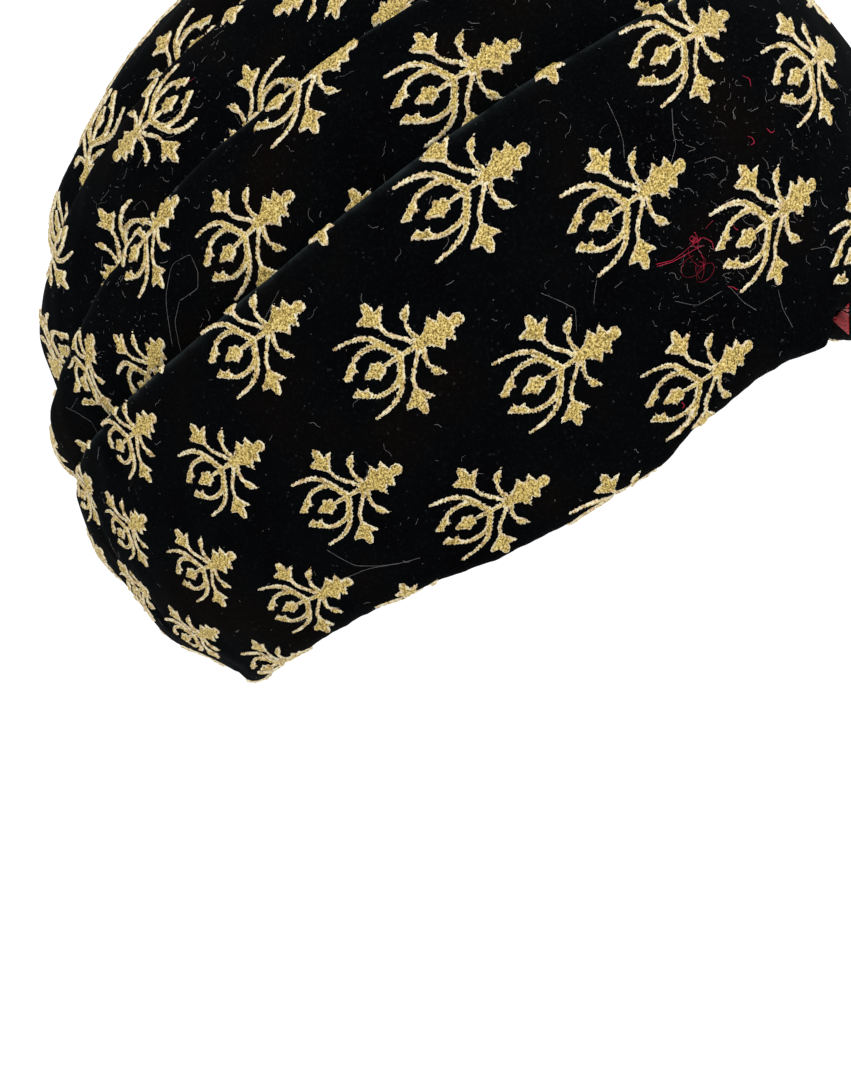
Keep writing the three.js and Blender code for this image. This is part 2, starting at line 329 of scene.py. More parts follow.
def below_at(down, roll_start):
    """Millimetres below the fold for a share down the wrap."""
    knee_below, knee_share = zip(*KNEE)
    if down < knee_share[-1]:
        return np.interp(down, knee_share, knee_below) + 0 * roll_start
    return mix(FOLD_END, roll_start, (down - knee_share[-1]) / (1 - knee_share[-1]))


def wrap_face(m, below):
    """Height of a wrap's outer face, from the fold to where the hem rolls."""
    share = np.clip((below - FOLD_END) / (m["roll_start"] - FOLD_END), 0, 1)
    face = mix(PROUD - m["seam"], m["hem_height"], share) + WRAP_FULLNESS * np.sin(math.pi * share)
    outer = mix(face + m["lift"] * (1 - share), mix(LAP_PROUD, m["hem_height"], share), m["low"])
    # The rolled hem shows as a narrow strip along the edge.
    from_edge = m["roll_start"] + m["radius"] - below
    groove = HEM_GROOVE * np.exp(-(((from_edge - HEM_STRIP) / 1.1) ** 2)) * (1 - m["low"])
    return outer - groove - fold_drop(below, m["fold_radius"])


def under_fold(below, start, outer):
    """Inner face of a fold, which is solid cloth near its top."""
    thick = mix(start, FOLD_INSIDE, np.clip(below / FOLD_SOLID, 0, 1))
    return mix(thick, outer - CLOTH, np.clip((below - FOLD_SOLID) / (FOLD_END - FOLD_SOLID), 0, 1))


def wrap_row(side, m, kind, t):
    """One row of a wrap's section: below and height of its outer and of its inner face."""
    centre = m["hem_height"] - m["radius"]
    if kind == "fold":
        angle = t * math.pi / 2
        below = m["fold_radius"] * (1 - math.cos(angle))
        rise = m["fold_radius"] * math.sin(angle)
        return below, m["fold_middle"] + rise, below, m["fold_middle"] - rise
    if kind == "face":
        below = np.maximum(below_at(t, m["roll_start"]), m["fold_radius"] + 0.3)
        outer = wrap_face(m, below)
        inner = under_fold(below, m["fold_middle"] - m["fold_radius"], outer)
        return below, outer, below, np.minimum(mix(inner, outer - CLOTH, m["low"]), outer - THINNEST)
    if kind == "roll":
        turn = math.pi * t
        inside = m["radius"] - CLOTH
        return (
            m["roll_start"] + m["radius"] * math.sin(turn),
            centre + m["radius"] * math.cos(turn),
            m["roll_start"] + inside * math.sin(turn),
            centre + inside * math.cos(turn),
        )
    below = m["roll_start"] - m["facing"] * t
    return below, centre - m["radius"], below, centre - m["radius"] + CLOTH


FOLD_ROWS = 7
KNEE_ROWS = 8
FACE_ROWS = 46
ROLL_ROWS = 13
FACING_ROWS = 6
WRAP_COLUMNS = 190
END_COLUMNS = 5
RING_COLUMNS = 300
# How far down a wrap its fold reaches, and how thin its rounded end gets.
FOLD_SHARE = 0.14
END_SHARE = 0.04


def wrap_grids(side):
    """The outer and the inner grid of a side wrap. Its end slants, and is rounded over as a folded edge."""
    wrap = WRAPS[side]
    knee = KNEE[-1][1]
    rows = [("fold", t, FOLD_SHARE * t) for t in np.linspace(0, 1, FOLD_ROWS)]
    rows += [("face", t, t) for t in np.linspace(FOLD_SHARE, knee, KNEE_ROWS)[1:]]
    rows += [("face", t, t) for t in np.linspace(knee, 1, FACE_ROWS)[1:]]
    rows += [("roll", t, 1.0) for t in np.linspace(0, 1, ROLL_ROWS)[1:]]
    rows += [("facing", t, 1.0) for t in np.linspace(0, 1, FACING_ROWS)[1:]]
    from_end = END_ROUNDING * (1 - np.cos(np.linspace(math.pi / 2, 0, END_COLUMNS)))
    closed = np.ones(WRAP_COLUMNS + len(from_end))
    closed[WRAP_COLUMNS:] = np.sqrt(1 - (1 - from_end / END_ROUNDING) ** 2)
    start = 180 - SEAM_HALF_GAP / DEGREE_LENGTH
    outer_rows, inner_rows, sheen_rows = [], [], []
    for kind, t, down in rows:
        end = mix(wrap["at_fold"], wrap["at_hem"], down)
        plain = np.linspace(start, end + 2 * END_ROUNDING / DEGREE_LENGTH, WRAP_COLUMNS)
        around = np.concatenate([plain, end + from_end / DEGREE_LENGTH])
        m = wrap_measures(side, around, down)
        below, outer, below_inner, inner = wrap_row(side, m, kind, t)
        half = (outer - inner) / 2 * np.maximum(closed, END_SHARE)
        middle = (outer + inner) / 2
        round_head = wrap["hand"] * around
        outer_rows.append(cloth_point(round_head, m["top"] - below / MM_PER_DEGREE, middle + half))
        inner_rows.append(cloth_point(round_head, m["top"] - below_inner / MM_PER_DEGREE, middle - half))
        # Painted sheen highlight along the fold crest, left off where the wrap sinks under the lap.
        sheen_rows.append(fold_wear(below) * (1 - m["low"]))
    return np.array(outer_rows), np.array(inner_rows), np.array(sheen_rows)


def ring(columns):
    return 180 - np.arange(columns) * 360.0 / columns


PLEATS = {
    "lower_folded_pleat": {"upper": "second", "lower": "first", "node": "lower_pleat"},
    "upper_folded_pleat": {"upper": "third", "lower": "second", "node": "upper_pleat"},
}
PLEAT_ROWS = 32


def pleat_width(pleat, around):
    drop = fold_latitude(pleat["upper"], around) - fold_latitude(pleat["lower"], around)
    return drop * MM_PER_DEGREE


def pleat_face(below, width):
    fall = (below - 4) / (width - 3)
    outer = TUCKED + (PROUD - TUCKED) * (1 - np.clip(fall, 0, 1) ** 2)
    return outer - fold_drop(below, FOLD_RADIUS)


def pleat_grids(pleat):
    around = ring(RING_COLUMNS)
    top = fold_latitude(pleat["upper"], around)
    width = pleat_width(pleat, around)
    outer_rows, inner_rows, sheen_rows = [], [], []
    for t in np.linspace(0, 1, FOLD_ROWS):
        angle = t * math.pi / 2
        below = FOLD_RADIUS * (1 - math.cos(angle))
        rise = FOLD_RADIUS * math.sin(angle)
        latitude = top - below / MM_PER_DEGREE
        outer_rows.append(cloth_point(around, latitude, FOLD_MIDDLE + rise))
        inner_rows.append(cloth_point(around, latitude, FOLD_MIDDLE - rise))
        # Painted sheen highlight on the rounded top of the fold.
        sheen_rows.append(np.full(RING_COLUMNS, fold_wear(below)))
    for t in np.linspace(0, 1, PLEAT_ROWS)[1:]:
        below = mix(FOLD_RADIUS, width + TUCK_LENGTH, t)
        outer = pleat_face(below, width)
        inner = np.minimum(under_fold(below, FOLD_MIDDLE - FOLD_RADIUS, outer), outer - THINNEST)
        latitude = top - below / MM_PER_DEGREE
        outer_rows.append(cloth_point(around, latitude, outer))
        inner_rows.append(cloth_point(around, latitude, inner))
        sheen_rows.append(fold_wear(below))
    return np.array(outer_rows), np.array(inner_rows), np.array(sheen_rows)


CROWN_ROWS = 50


def crown_height(above):
    rise = np.sin(math.pi / 2 * np.clip(above / CROWN_RISE, 0, 1))
    return mix(TUCKED, CROWN_PROUD, rise)


def crown_grids():
    around = ring(RING_COLUMNS)
    base = fold_latitude("third", around)
    lowest = base - TUCK_LENGTH / MM_PER_DEGREE
    outer_rows, inner_rows = [], []
    for t in np.linspace(0, 1, CROWN_ROWS):
        latitude = mix(lowest, 90.0, t)
        outer = crown_height((latitude - base) * MM_PER_DEGREE)
        outer_rows.append(cloth_point(around, latitude, outer))
        inner_rows.append(cloth_point(around, latitude, outer - CLOTH))
    return np.array(outer_rows), np.array(inner_rows)


LINING_COLUMNS = 180
LINING_ROWS = 50


def lining_grids():
    around = ring(LINING_COLUMNS)
    right = through(HEMS["right"], np.maximum(around, HEMS["right"][-1][0]))
    left = through(HEMS["left"], -around)
    hem = mix(left, right, smooth((around - WRAPS["right"]["at_hem"]) / 12))
    lowest = hem + LINING_ABOVE_HEM / MM_PER_DEGREE
    outer_rows, inner_rows = [], []
    for t in np.linspace(0, 1, LINING_ROWS):
        latitude = mix(lowest, 90.0, t)
        outer_rows.append(cloth_point(around, latitude, LINING_PROUD))
        inner_rows.append(cloth_point(around, latitude, LINING_PROUD - LINING_CLOTH))
    return np.array(outer_rows), np.array(inner_rows)


# Where each panel's outer face is, for what is stitched to it or lies on it

# A panel shows this far from its edges: degrees at an end and at the seam, millimetres below a fold and at a
# tuck, and radians round a hem.
END_CLEAR = 0.8
LAP_COVER = 1.5
SEAM_CLEAR = 179.4
FOLD_CLEAR = 0.3
TUCK_COVER = 1.0
HEM_TURN = 1.9


def place_on_wrap(side, around, latitude, relief):
    """Points on a wrap's outer face, raised by relief millimetres, and which of them show."""
    own = WRAPS[side]["hand"] * around
    below = (fold_latitude("first", own) - latitude) * MM_PER_DEGREE
    down = down_share(below, wrap_measures(side, own, 0.5)["roll_start"])
    m = wrap_measures(side, own, down)
    turn = np.clip((below - m["roll_start"]) / m["radius"], 0, math.pi)
    rolled = turn > 0
    face = wrap_face(m, np.clip(below, 0, m["roll_start"]))
    bent = np.clip((m["fold_radius"] - below) / m["fold_radius"], 0, 1)
    reach = m["radius"] + relief
    height = np.where(rolled, m["hem_height"] - m["radius"] + reach * np.cos(turn), face + relief)
    place = np.where(rolled, m["roll_start"] + reach * np.sin(turn), below - relief * bent)
    end = mix(WRAPS[side]["at_fold"], WRAPS[side]["at_hem"], down)
    shows = (own > end + END_CLEAR) & (own < SEAM_CLEAR) & (below > FOLD_CLEAR) & (turn < HEM_TURN)
    if side == "left":
        lap = -mix(WRAPS["right"]["at_fold"], WRAPS["right"]["at_hem"], down)
        shows &= own > lap - LAP_COVER
    return cloth_point(around, m["top"] - place / MM_PER_DEGREE, height), shows


def place_on_pleat(pleat, around, latitude, relief):
    top = fold_latitude(pleat["upper"], around)
    width = pleat_width(pleat, around)
    below = (top - latitude) * MM_PER_DEGREE
    bent = np.clip((FOLD_RADIUS - below) / FOLD_RADIUS, 0, 1)
    place = below - relief * bent
    shows = (below > FOLD_CLEAR) & (below < width + TUCK_COVER)
    height = pleat_face(np.maximum(below, 0), width) + relief
    return cloth_point(around, top - place / MM_PER_DEGREE, height), shows


def place_on_crown(around, latitude, relief):
    above = (latitude - fold_latitude("third", around)) * MM_PER_DEGREE
    return cloth_point(around, latitude, crown_height(above) + relief), above > -TUCK_COVER


def on_cloth(around, latitude, relief):
    """Points on whichever panel shows at a place, raised by relief millimetres."""
    points = place_on_crown(around, latitude, relief)[0]
    for name in ("upper_folded_pleat", "lower_folded_pleat"):
        under = latitude < fold_latitude(PLEATS[name]["upper"], around)
        points = np.where(under[..., None], place_on_pleat(PLEATS[name], around, latitude, relief)[0], points)
    under = latitude < fold_latitude("first", around)
    right, on_right = place_on_wrap("right", around, latitude, relief)
    left, _ = place_on_wrap("left", around, latitude, relief)
    return np.where(under[..., None], np.where(on_right[..., None], right, left), points)


# The photograph's camera, and the places that it shows at a pixel of its 851 x 1080 frame

CAMERA_PLACE = (-0.400, 0.04958, -0.01711)
CAMERA_LENS = 41.47
CAMERA_SENSOR = 36.0
PHOTO_WIDTH = 851
PHOTO_HEIGHT = 1080
PHOTO_FOCUS = CAMERA_LENS / CAMERA_SENSOR * PHOTO_HEIGHT
FACE_HEIGHT = 8.5
# Degrees that the photograph can show: first, last and step.
SEARCH_ROUND = (24, 172, 2.0)
SEARCH_LATITUDE = (-36, 72, 2.0)
HIDDEN_COST = 1e4
# The search from the nearest of those, in degrees.
SEARCH_TURNS = 8
SEARCH_STEP = 0.1
LARGEST_STEP = 4


def pixel_of(points):
    """Where points of the part's own frame fall in the photograph."""
    away = points[..., 0] - CAMERA_PLACE[0]
    x = PHOTO_WIDTH / 2 + PHOTO_FOCUS * (CAMERA_PLACE[1] - points[..., 1]) / away
    y = PHOTO_HEIGHT / 2 - PHOTO_FOCUS * (points[..., 2] - CAMERA_PLACE[2]) / away
    return np.stack([x, y], -1)


def place_at(pixel, height=FACE_HEIGHT):
    """Degrees round and latitude of what shows at a pixel, for a layer at a height on the form."""
    around, latitude = np.meshgrid(np.arange(*SEARCH_ROUND), np.arange(*SEARCH_LATITUDE), indexing="ij")
    shown = pixel_of(cloth_point(around, latitude, height))
    across, up = np.gradient(shown, axis=0), np.gradient(shown, axis=1)
    faces_camera = across[..., 0] * up[..., 1] - across[..., 1] * up[..., 0] > 0
    missed = np.hypot(*np.moveaxis(shown - pixel, -1, 0)) + np.where(faces_camera, 0, HIDDEN_COST)
    nearest = np.unravel_index(np.argmin(missed), missed.shape)
    place = np.array([around[nearest], latitude[nearest]])
    for _ in range(SEARCH_TURNS):
        tries = place + SEARCH_STEP * np.array([(0, 0), (1, 0), (0, 1)])
        found = pixel_of(cloth_point(tries[:, 0], tries[:, 1], height))
        slopes = (found[1:] - found[0]).T / SEARCH_STEP
        place = place + np.clip(np.linalg.solve(slopes, pixel - found[0]), -LARGEST_STEP, LARGEST_STEP)
    return place


# Where some sprigs are in the photograph: their steps ahead and down in the cloth's repeat, and their pixels.
WRAP_SPRIGS = {
    (0, 0): (458, 205),
    (1, 1): (625, 215),
    (2, 2): (766, 232),
    (3, 3): (850, 252),
    (-1, 1): (390, 365),
    (0, 2): (560, 378),
    (1, 3): (705, 386),
    (-2, 0): (256, 350),
    (-1, 3): (490, 525),
    (-2, 2): (341, 505),
    (-3, 1): (229, 475),
    (-4, 0): (137, 440),
    (-3, 3): (300, 607),
    (-4, 2): (206, 572),
    (-5, 1): (133, 533),
    (-6, 0): (88, 494),
    (2, 0): (685, 50),
    (3, 1): (796, 85),
    (-5, 3): (196, 640),
}
LOWER_PLEAT_SPRIGS = {
    (0, 0): (473, 68),
    (-1, -1): (318, 79),
    (-2, 0): (257, 229),
    (-3, -1): (157, 232),
    (-4, 0): (141, 371),
    (-5, -1): (90, 367),
}
UPPER_PLEAT_SPRIGS = {
    (0, 0): (240, 127),
    (-2, 0): (112, 267),
    (-1, -1): (141, 135),
    (1, -1): (313, -9),
}
# Cloth bends smoothly, so few powers of the steps are enough.
STRAIGHT = ((0, 0), (1, 0), (0, 1), (1, 1))
CURVED = (*STRAIGHT, (2, 0))
FULL = (*CURVED, (0, 2), (3, 0), (2, 1), (1, 2))
# Each stretch of cloth, the first and the last steps ahead and down between which it bends, and how far along
# a sprig the seen place is, in millimetres.
STRETCHES = {
    "wraps": {
        "sprigs": WRAP_SPRIGS,
        "powers": FULL,
        "ahead": (-6.3, 3.4),
        "down": (-1.5, 4.5),
        "seen": 0.0,
    },
    "lower pleat": {
        "sprigs": LOWER_PLEAT_SPRIGS,
        "powers": CURVED,
        "ahead": (-5.3, 1.5),
        "down": (-2.0, 1.0),
        "seen": 6.0,
    },
    "upper pleat": {
        "sprigs": UPPER_PLEAT_SPRIGS,
        "powers": STRAIGHT,
        "ahead": (-3.5, 1.5),
        "down": (-2.0, 1.0),
        "seen": -6.0,
    },
}
# Degrees for each step past those.
STEP_ROUND = 14.5
STEP_LATITUDE = 10.0


# The cloth doubles back at the second fold, so the sprigs above it are turned and point the other way.
PANELS = {
    "right_side_wrap": {
        "place": functools.partial(place_on_wrap, "right"),
        "stretch": "wraps",
        "shift": (0.0, 0.0),
        "turned": 1,
        "hands": (1,),
    },
    "left_side_wrap": {
        "place": functools.partial(place_on_wrap, "left"),
        "stretch": "wraps",
        "shift": (0.4, 0.15),
        "turned": 1,
        "hands": (-1,),
    },
    "lower_folded_pleat": {
        "place": functools.partial(place_on_pleat, PLEATS["lower_folded_pleat"]),
        "stretch": "lower pleat",
        "shift": (0.0, 0.0),
        "turned": 1,
        "hands": (1, -1),
    },
    "upper_folded_pleat": {
        "place": functools.partial(place_on_pleat, PLEATS["upper_folded_pleat"]),
        "stretch": "upper pleat",
        "shift": (0.0, 0.0),
        "turned": -1,
        "hands": (1, -1),
    },
    "crown_cloth": {
        "place": place_on_crown,
        "stretch": None,
        "shift": (0.0, 0.0),
        "turned": -1,
        "hands": (1,),
    },
}
# Sprigs of the repeat that the hem cuts away whole.
CUT_AWAY = ((2, 4),)


# The gold sprigs. One half of a sprig in millimetres: x runs along its axis to the tip, y to the side.

# Each stem: its middle line, and half its thickness at the start and at the end.
SPRIG_STEMS = {
    "neck": (((6.5, 0), (2.0, 0)), 0.85, 0.6),
    "bud stem": (((7.0, 1.4), (6.3, 3.0), (6.1, 4.8), (6.7, 6.2)), 0.8, 0.5),
    "lily stem": (((5.8, 0.9), (4.2, 2.7), (2.7, 4.0), (1.1, 5.7), (0.5, 7.8)), 0.6, 0.6),
    "shoulder": (((1.4, 0), (0.5, 1.5), (-0.5, 3.0), (-1.5, 4.4)), 0.9, 1.0),
    "inner arc": (
        ((-1.4, 4.0), (-2.8, 4.8), (-4.6, 5.2), (-7.2, 5.3), (-9.2, 4.9), (-10.4, 4.0)), 0.8, 0.6
    ),
    "outer arc": (((-1.0, 4.2), (-3.0, 6.7), (-5.4, 8.1), (-8.6, 8.9), (-12.4, 9.2)), 0.85, 0.45),
    "flower stem": (((1.4, 0), (-4.0, 0)), 0.75, 0.55),
}
# Half the outline of each petal that lies across the axis, and the whole outline of each other one.
MIRRORED_PETALS = {
    "head": (
        *((5.0, 0.7), (6.0, 1.5), (7.8, 1.5), (9.2, 2.1), (10.6, 3.3), (11.7, 4.5), (12.2, 3.2), (12.9, 2.3)),
        *((14.0, 3.2), (14.8, 4.1), (15.1, 2.8), (15.9, 1.2), (16.8, 1.5), (17.8, 1.6), (18.7, 1.1)),
        (19.2, 0.3),
    ),
    "flower": ((-3.3, 0.5), (-3.9, 1.7), (-5.0, 1.6), (-6.2, 2.5), (-6.9, 1.5), (-7.9, 1.1), (-9.9, 0.3)),
}
SIDE_PETALS = {
    "bud": ((6.3, 5.4), (5.8, 6.8), (6.4, 8.0), (7.8, 8.5), (9.7, 9.0), (9.0, 8.0), (8.4, 6.8), (7.4, 5.7)),
    "lily": (
        *((0.9, 7.5), (1.7, 8.8), (2.8, 10.2), (4.2, 11.8), (2.5, 11.6), (1.3, 11.4), (1.1, 12.8)),
        *((0.3, 14.2), (-0.9, 14.4), (-1.5, 13.3), (-1.7, 11.9), (-2.6, 11.6), (-4.5, 11.3)),
        *((-3.9, 10.2), (-2.2, 9.2), (-0.4, 7.8)),
    ),
    "bell": (
        *((-10.2, 4.9), (-12.0, 4.1), (-13.4, 3.1), (-15.2, 2.2), (-14.2, 1.5), (-12.4, 0.9)),
        *((-12.0, 1.8), (-11.2, 2.2), (-9.6, 1.7), (-10.1, 2.9), (-9.5, 4.0)),
    ),
}
FAR = 99.0
SPRIG_GRID = 0.4
SPRIG_BOX ={"back": -16.2, "tip": 20.2, "side": 15.6}
SPRIG_FULLNESS = 0.02
SPRIG_RAGGED = 0.15
RAGGED_WAVES = 7
# Radians for each millimetre.
RAGGED_PITCH = (5.0, 9.0)
LEAST_STEEP = 0.3
SPRIG_KINDS = 4
SINK = -0.35
OUTLINE_RISE = 0.4
GRAINY_FROM = 0.3
GRAIN = 0.1

# The cloth's half-drop repeat: one step ahead and one step down, in millimetres on the cloth.
STEP_AHEAD = 32.1
STEP_DOWN = 21.8
SPRIG_MIDDLE = 1.6
STEPS_AHEAD = range(-10, 11)
STEPS_DOWN = range(-9, 10)
# Degrees round and latitudes where a sprig may stand, for each hand and for a panel with one hand.
OWN_HALF = {1: (-6, 186), -1: (14, 166)}
WHOLE_PANEL = (-90, 190)
LOWEST_SPRIG = -60
HIGHEST_SPRIG = 80
CROWN_FORWARD = -43.6
CROWN_RIGHT = 80.9


def stem_depth(line, thick_start, thick_end, x, y):
    """How deep inside a stem each place is, in millimetres. It is below 0 outside."""
    line = np.array(line, float)
    count = len(line) - 1
    depth = np.full(x.shape, -FAR)
    for i in range(count):
        start, way = line[i], line[i + 1] - line[i]
        t = np.clip(((x - start[0]) * way[0] + (y - start[1]) * way[1]) / (way @ way), 0, 1)
        far = np.hypot(x - start[0] - t * way[0], y - start[1] - t * way[1])
        depth = np.maximum(depth, mix(thick_start, thick_end, (i + t) / count) - far)
    return depth


def petal_depth(outline, x, y):
    """The same for a petal, whose outline is closed."""
    near = np.full(x.shape, FAR)
    inside = np.zeros(x.shape, bool)
    for (ax, ay), (bx, by) in zip(outline, outline[1:] + outline[:1]):
        wx, wy = bx - ax, by - ay
        t = np.clip(((x - ax) * wx + (y - ay) * wy) / (wx * wx + wy * wy), 0, 1)
        near = np.minimum(near, np.hypot(x - ax - t * wx, y - ay - t * wy))
        if ay != by:
            crosses = (ay > y) != (by > y)
            inside ^= crosses & (x < ax + (y - ay) * wx / wy)
    return np.where(inside, near, -near)


def sprig_pattern(seed):
    """One sprig as a flat net: its places, how deep inside the stitching each is, and its faces."""
    dice = random.Random(seed)
    x, y = np.meshgrid(
        np.arange(SPRIG_BOX["back"], SPRIG_BOX["tip"], SPRIG_GRID),
        np.arange(-SPRIG_BOX["side"], SPRIG_BOX["side"], SPRIG_GRID),
        indexing="ij",
    )
    side = np.abs(y)
    outlines = [half + tuple((px, -py) for px, py in reversed(half)) for half in MIRRORED_PETALS.values()]
    parts = [stem_depth(*stem, x, side) for stem in SPRIG_STEMS.values()]
    parts += [petal_depth(outline, x, side) for outline in (*outlines, *SIDE_PETALS.values())]
    depth = np.max(parts, axis=0) + SPRIG_FULLNESS
    # Stitches end unevenly, about every millimetre, so the outline is ragged.
    for _ in range(RAGGED_WAVES):
        angle, phase = dice.uniform(0, math.pi), dice.uniform(0, math.tau)
        pitch = dice.uniform(*RAGGED_PITCH)
        ragged = np.sin(pitch * (x * math.cos(angle) + y * math.sin(angle)) + phase)
        depth = depth + SPRIG_RAGGED / 2 * ragged
    ahead, across = np.gradient(depth, SPRIG_GRID)
    steep = np.maximum(np.hypot(ahead, across), LEAST_STEEP)
    out = np.minimum(depth, 0)
    # Places just outside are drawn in to the outline.
    x = x - out * ahead / steep**2
    y = y - out * across / steep**2
    inside = depth > 0
    kept = inside[:-1, :-1] | inside[1:, :-1] | inside[1:, 1:] | inside[:-1, 1:]
    numbers = np.arange(x.size).reshape(x.shape)
    faces = np.stack([numbers[:-1, :-1], numbers[1:, :-1], numbers[1:, 1:], numbers[:-1, 1:]], -1)[kept]
    used, compact = np.unique(faces, return_inverse=True)
    return x.ravel()[used], y.ravel()[used], np.maximum(depth, 0).ravel()[used], compact.reshape(-1, 4)


@functools.cache
def sprig_patterns():
    return [sprig_pattern(SEED + kind) for kind in range(SPRIG_KINDS)]


def powers_of(stretch, ahead, down):
    return np.stack([ahead**first * down**second for first, second in stretch["powers"]], -1)


@functools.cache
def bends(name):
    """How a stretch of cloth bends: the weight of each power, for degrees round and for latitude."""
    stretch = STRETCHES[name]
    ahead, down = np.array(list(stretch["sprigs"]), float).T
    places = np.array([place_at(pixel) for pixel in stretch["sprigs"].values()])
    powers = powers_of(stretch, ahead + stretch["seen"] / STEP_AHEAD, down)
    return np.linalg.lstsq(powers, places, rcond=None)[0]


def drape(name, ahead, down):
    """Degrees round the head and latitude of a place on the cloth, counted in steps of the repeat."""
    stretch = STRETCHES[name]
    near = np.clip(ahead, *stretch["ahead"])
    level = np.clip(down, *stretch["down"])
    place = powers_of(stretch, near, level) @ bends(name)
    return place[..., 0] - STEP_ROUND * (ahead - near), place[..., 1] - STEP_LATITUDE * (down - level)


def drape_over_top(ahead, down):
    """The same over the crown, where the cloth is spread from the top."""
    forward = CROWN_FORWARD + ahead * STEP_AHEAD
    right = CROWN_RIGHT - down * STEP_DOWN
    return np.degrees(np.arctan2(right, forward)), 90 - np.hypot(right, forward) / MM_PER_DEGREE


def relief_of(depth, height, dice):
    """The stitched outline rises steeply, and the fill inside is grainy."""
    rise = SINK + (height - SINK) * np.sqrt(np.clip(depth / OUTLINE_RISE, 0, 1))
    grain = np.where(depth > GRAINY_FROM, GRAIN * height * dice.standard_normal(depth.shape), 0)
    return rise + grain


def sprigs_on(name, panel, settings, material):
    """All the sprigs of one panel as one piece of raised stitching."""
    dice = np.random.default_rng(SEED + len(name))
    patterns = sprig_patterns()
    over_top = panel["stretch"] is None
    points, depths, faces, count = [], [], [], 0
    for hand, i, j in itertools.product(panel["hands"], STEPS_AHEAD, STEPS_DOWN):
        if (i + j) % 2 or (i, j) in CUT_AWAY:
            continue
        x, y, depth, net = patterns[(i * 5 + j * 3) % SPRIG_KINDS]
        scale = panel["turned"] * settings.sprig_scale
        ahead = i + panel["shift"][0] + x * scale / STEP_AHEAD
        down = j + panel["shift"][1] - (y * scale + SPRIG_MIDDLE) / STEP_DOWN
        if over_top:
            around, latitude = drape_over_top(ahead, down)
        else:
            around, latitude = drape(panel["stretch"], ahead, down)
            first, last = OWN_HALF[hand] if len(panel["hands"]) == 2 else WHOLE_PANEL
            if not (first < around.mean() < last and LOWEST_SPRIG < latitude.max() < HIGHEST_SPRIG):
                continue
        # Degrees jump at the back, so a sprig across that line is left out.
        if np.ptp(around) > 180:
            continue
        relief = relief_of(depth, settings.relief * 1000, dice)
        place, shows = panel["place"](around * hand, latitude, relief)
        net = net[shows[net].all(axis=1)]
        if not len(net):
            continue
        used, compact = np.unique(net, return_inverse=True)
        points.append(place[used])
        depths.append(depth[used])
        faces.append(compact.reshape(-1, 4) + count)
        count += len(used)
    piece = new_piece(name, np.concatenate(points), np.concatenate(faces), material)
    set_values(piece, "stitch_depth", np.concatenate(depths))
    return piece


# Meshes

def grid_faces(numbers, closed):
    a, b = numbers[:-1], numbers[1:]
    if closed:
        a, b = (np.hstack([g, g[:, :1]]) for g in (a, b))
    return np.stack([a[:, :-1], b[:, :-1], b[:, 1:], a[:, 1:]], -1).reshape(-1, 4)


def new_piece(name, points, faces, material):
    mesh = bpy.data.meshes.new(name)
    mesh.from_pydata(points.tolist(), [], [list(dict.fromkeys(face)) for face in faces.tolist()])
    mesh.validate()
    mesh.shade_smooth()
    mesh.materials.append(material)
    piece = bpy.data.objects.new(name, mesh)
    bpy.context.scene.collection.objects.link(piece)
    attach(piece, "root")
    return piece


def sheet_piece(name, grids, closed, folded_top, pole, material):
    """A closed shell between the outer and the inner grid of a sheet of cloth, with any painted fold sheen it
    has.
    """
    outer, inner, *sheened = grids
    rows, columns = outer.shape[:2]
    numbers = np.arange(2 * rows * columns).reshape(2, rows, columns)
    if folded_top:
        numbers[1, 0] = numbers[0, 0]
    if pole:
        numbers[:, -1] = numbers[:, -1, :1]
    faces = [grid_faces(numbers[0], closed), grid_faces(numbers[1], closed)[:, ::-1]]
    if not folded_top:
        faces.append(grid_faces(np.stack([numbers[1, 0], numbers[0, 0]]), closed))
    if not pole:
        faces.append(grid_faces(np.stack([numbers[0, -1], numbers[1, -1]]), closed))
    if not closed:
        faces.append(grid_faces(np.stack([numbers[0, :, 0], numbers[1, :, 0]]), False))
        faces.append(grid_faces(np.stack([numbers[1, :, -1], numbers[0, :, -1]]), False))
    faces = np.concatenate(faces)
    used, compact = np.unique(faces, return_inverse=True)
    points = np.concatenate([outer.reshape(-1, 3), inner.reshape(-1, 3)])[used]
    faces = compact.reshape(-1, 4)
    corner = points[faces]
    volume = np.einsum("ij,ij->", corner[:, 0], np.cross(corner[:, 1], corner[:, 2]))
    volume += np.einsum("ij,ij->", corner[:, 0], np.cross(corner[:, 2], corner[:, 3]))
    if volume < 0:
        faces = faces[:, ::-1]
    piece = new_piece(name, points, faces, material)
    if sheened:
        # The painted fold-crest sheen goes to the velvet as a point value.
        set_values(piece, "fold_wear", np.concatenate([sheened[0].ravel(), sheened[0].ravel()])[used])
    return piece


def set_values(piece, name, values):
    attribute = piece.data.attributes.new(name, "FLOAT", "POINT")
    attribute.data.foreach_set("value", values.astype(np.float32))


FIBRE_SIDES = 3
ASLANT = (0.31, 0.55, 0.77)
SHORTEST = 1e-12


def fibre_net(path, radius, start):
    """A thin tube along a path in metres, as points and as faces that count from start."""
    along = np.gradient(path, axis=0)
    along /= np.maximum(np.linalg.norm(along, axis=1, keepdims=True), SHORTEST)
    aside = np.cross(along, ASLANT)
    aside /= np.linalg.norm(aside, axis=1, keepdims=True)
    up = np.cross(along, aside)
    turns = np.arange(FIBRE_SIDES) * math.tau / FIBRE_SIDES
    spokes = aside[:, None] * np.cos(turns)[:, None] + up[:, None] * np.sin(turns)[:, None]
    points = path[:, None] + spokes * radius
    numbers = np.arange(points.shape[0] * FIBRE_SIDES).reshape(-1, FIBRE_SIDES) + start
    first, last = numbers[0], numbers[-1]
    caps = [(first[2], first[1], first[0], first[0]), (last[0], last[1], last[2], last[2])]
    return points.reshape(-1, 3), np.concatenate([grid_faces(numbers, True), caps])


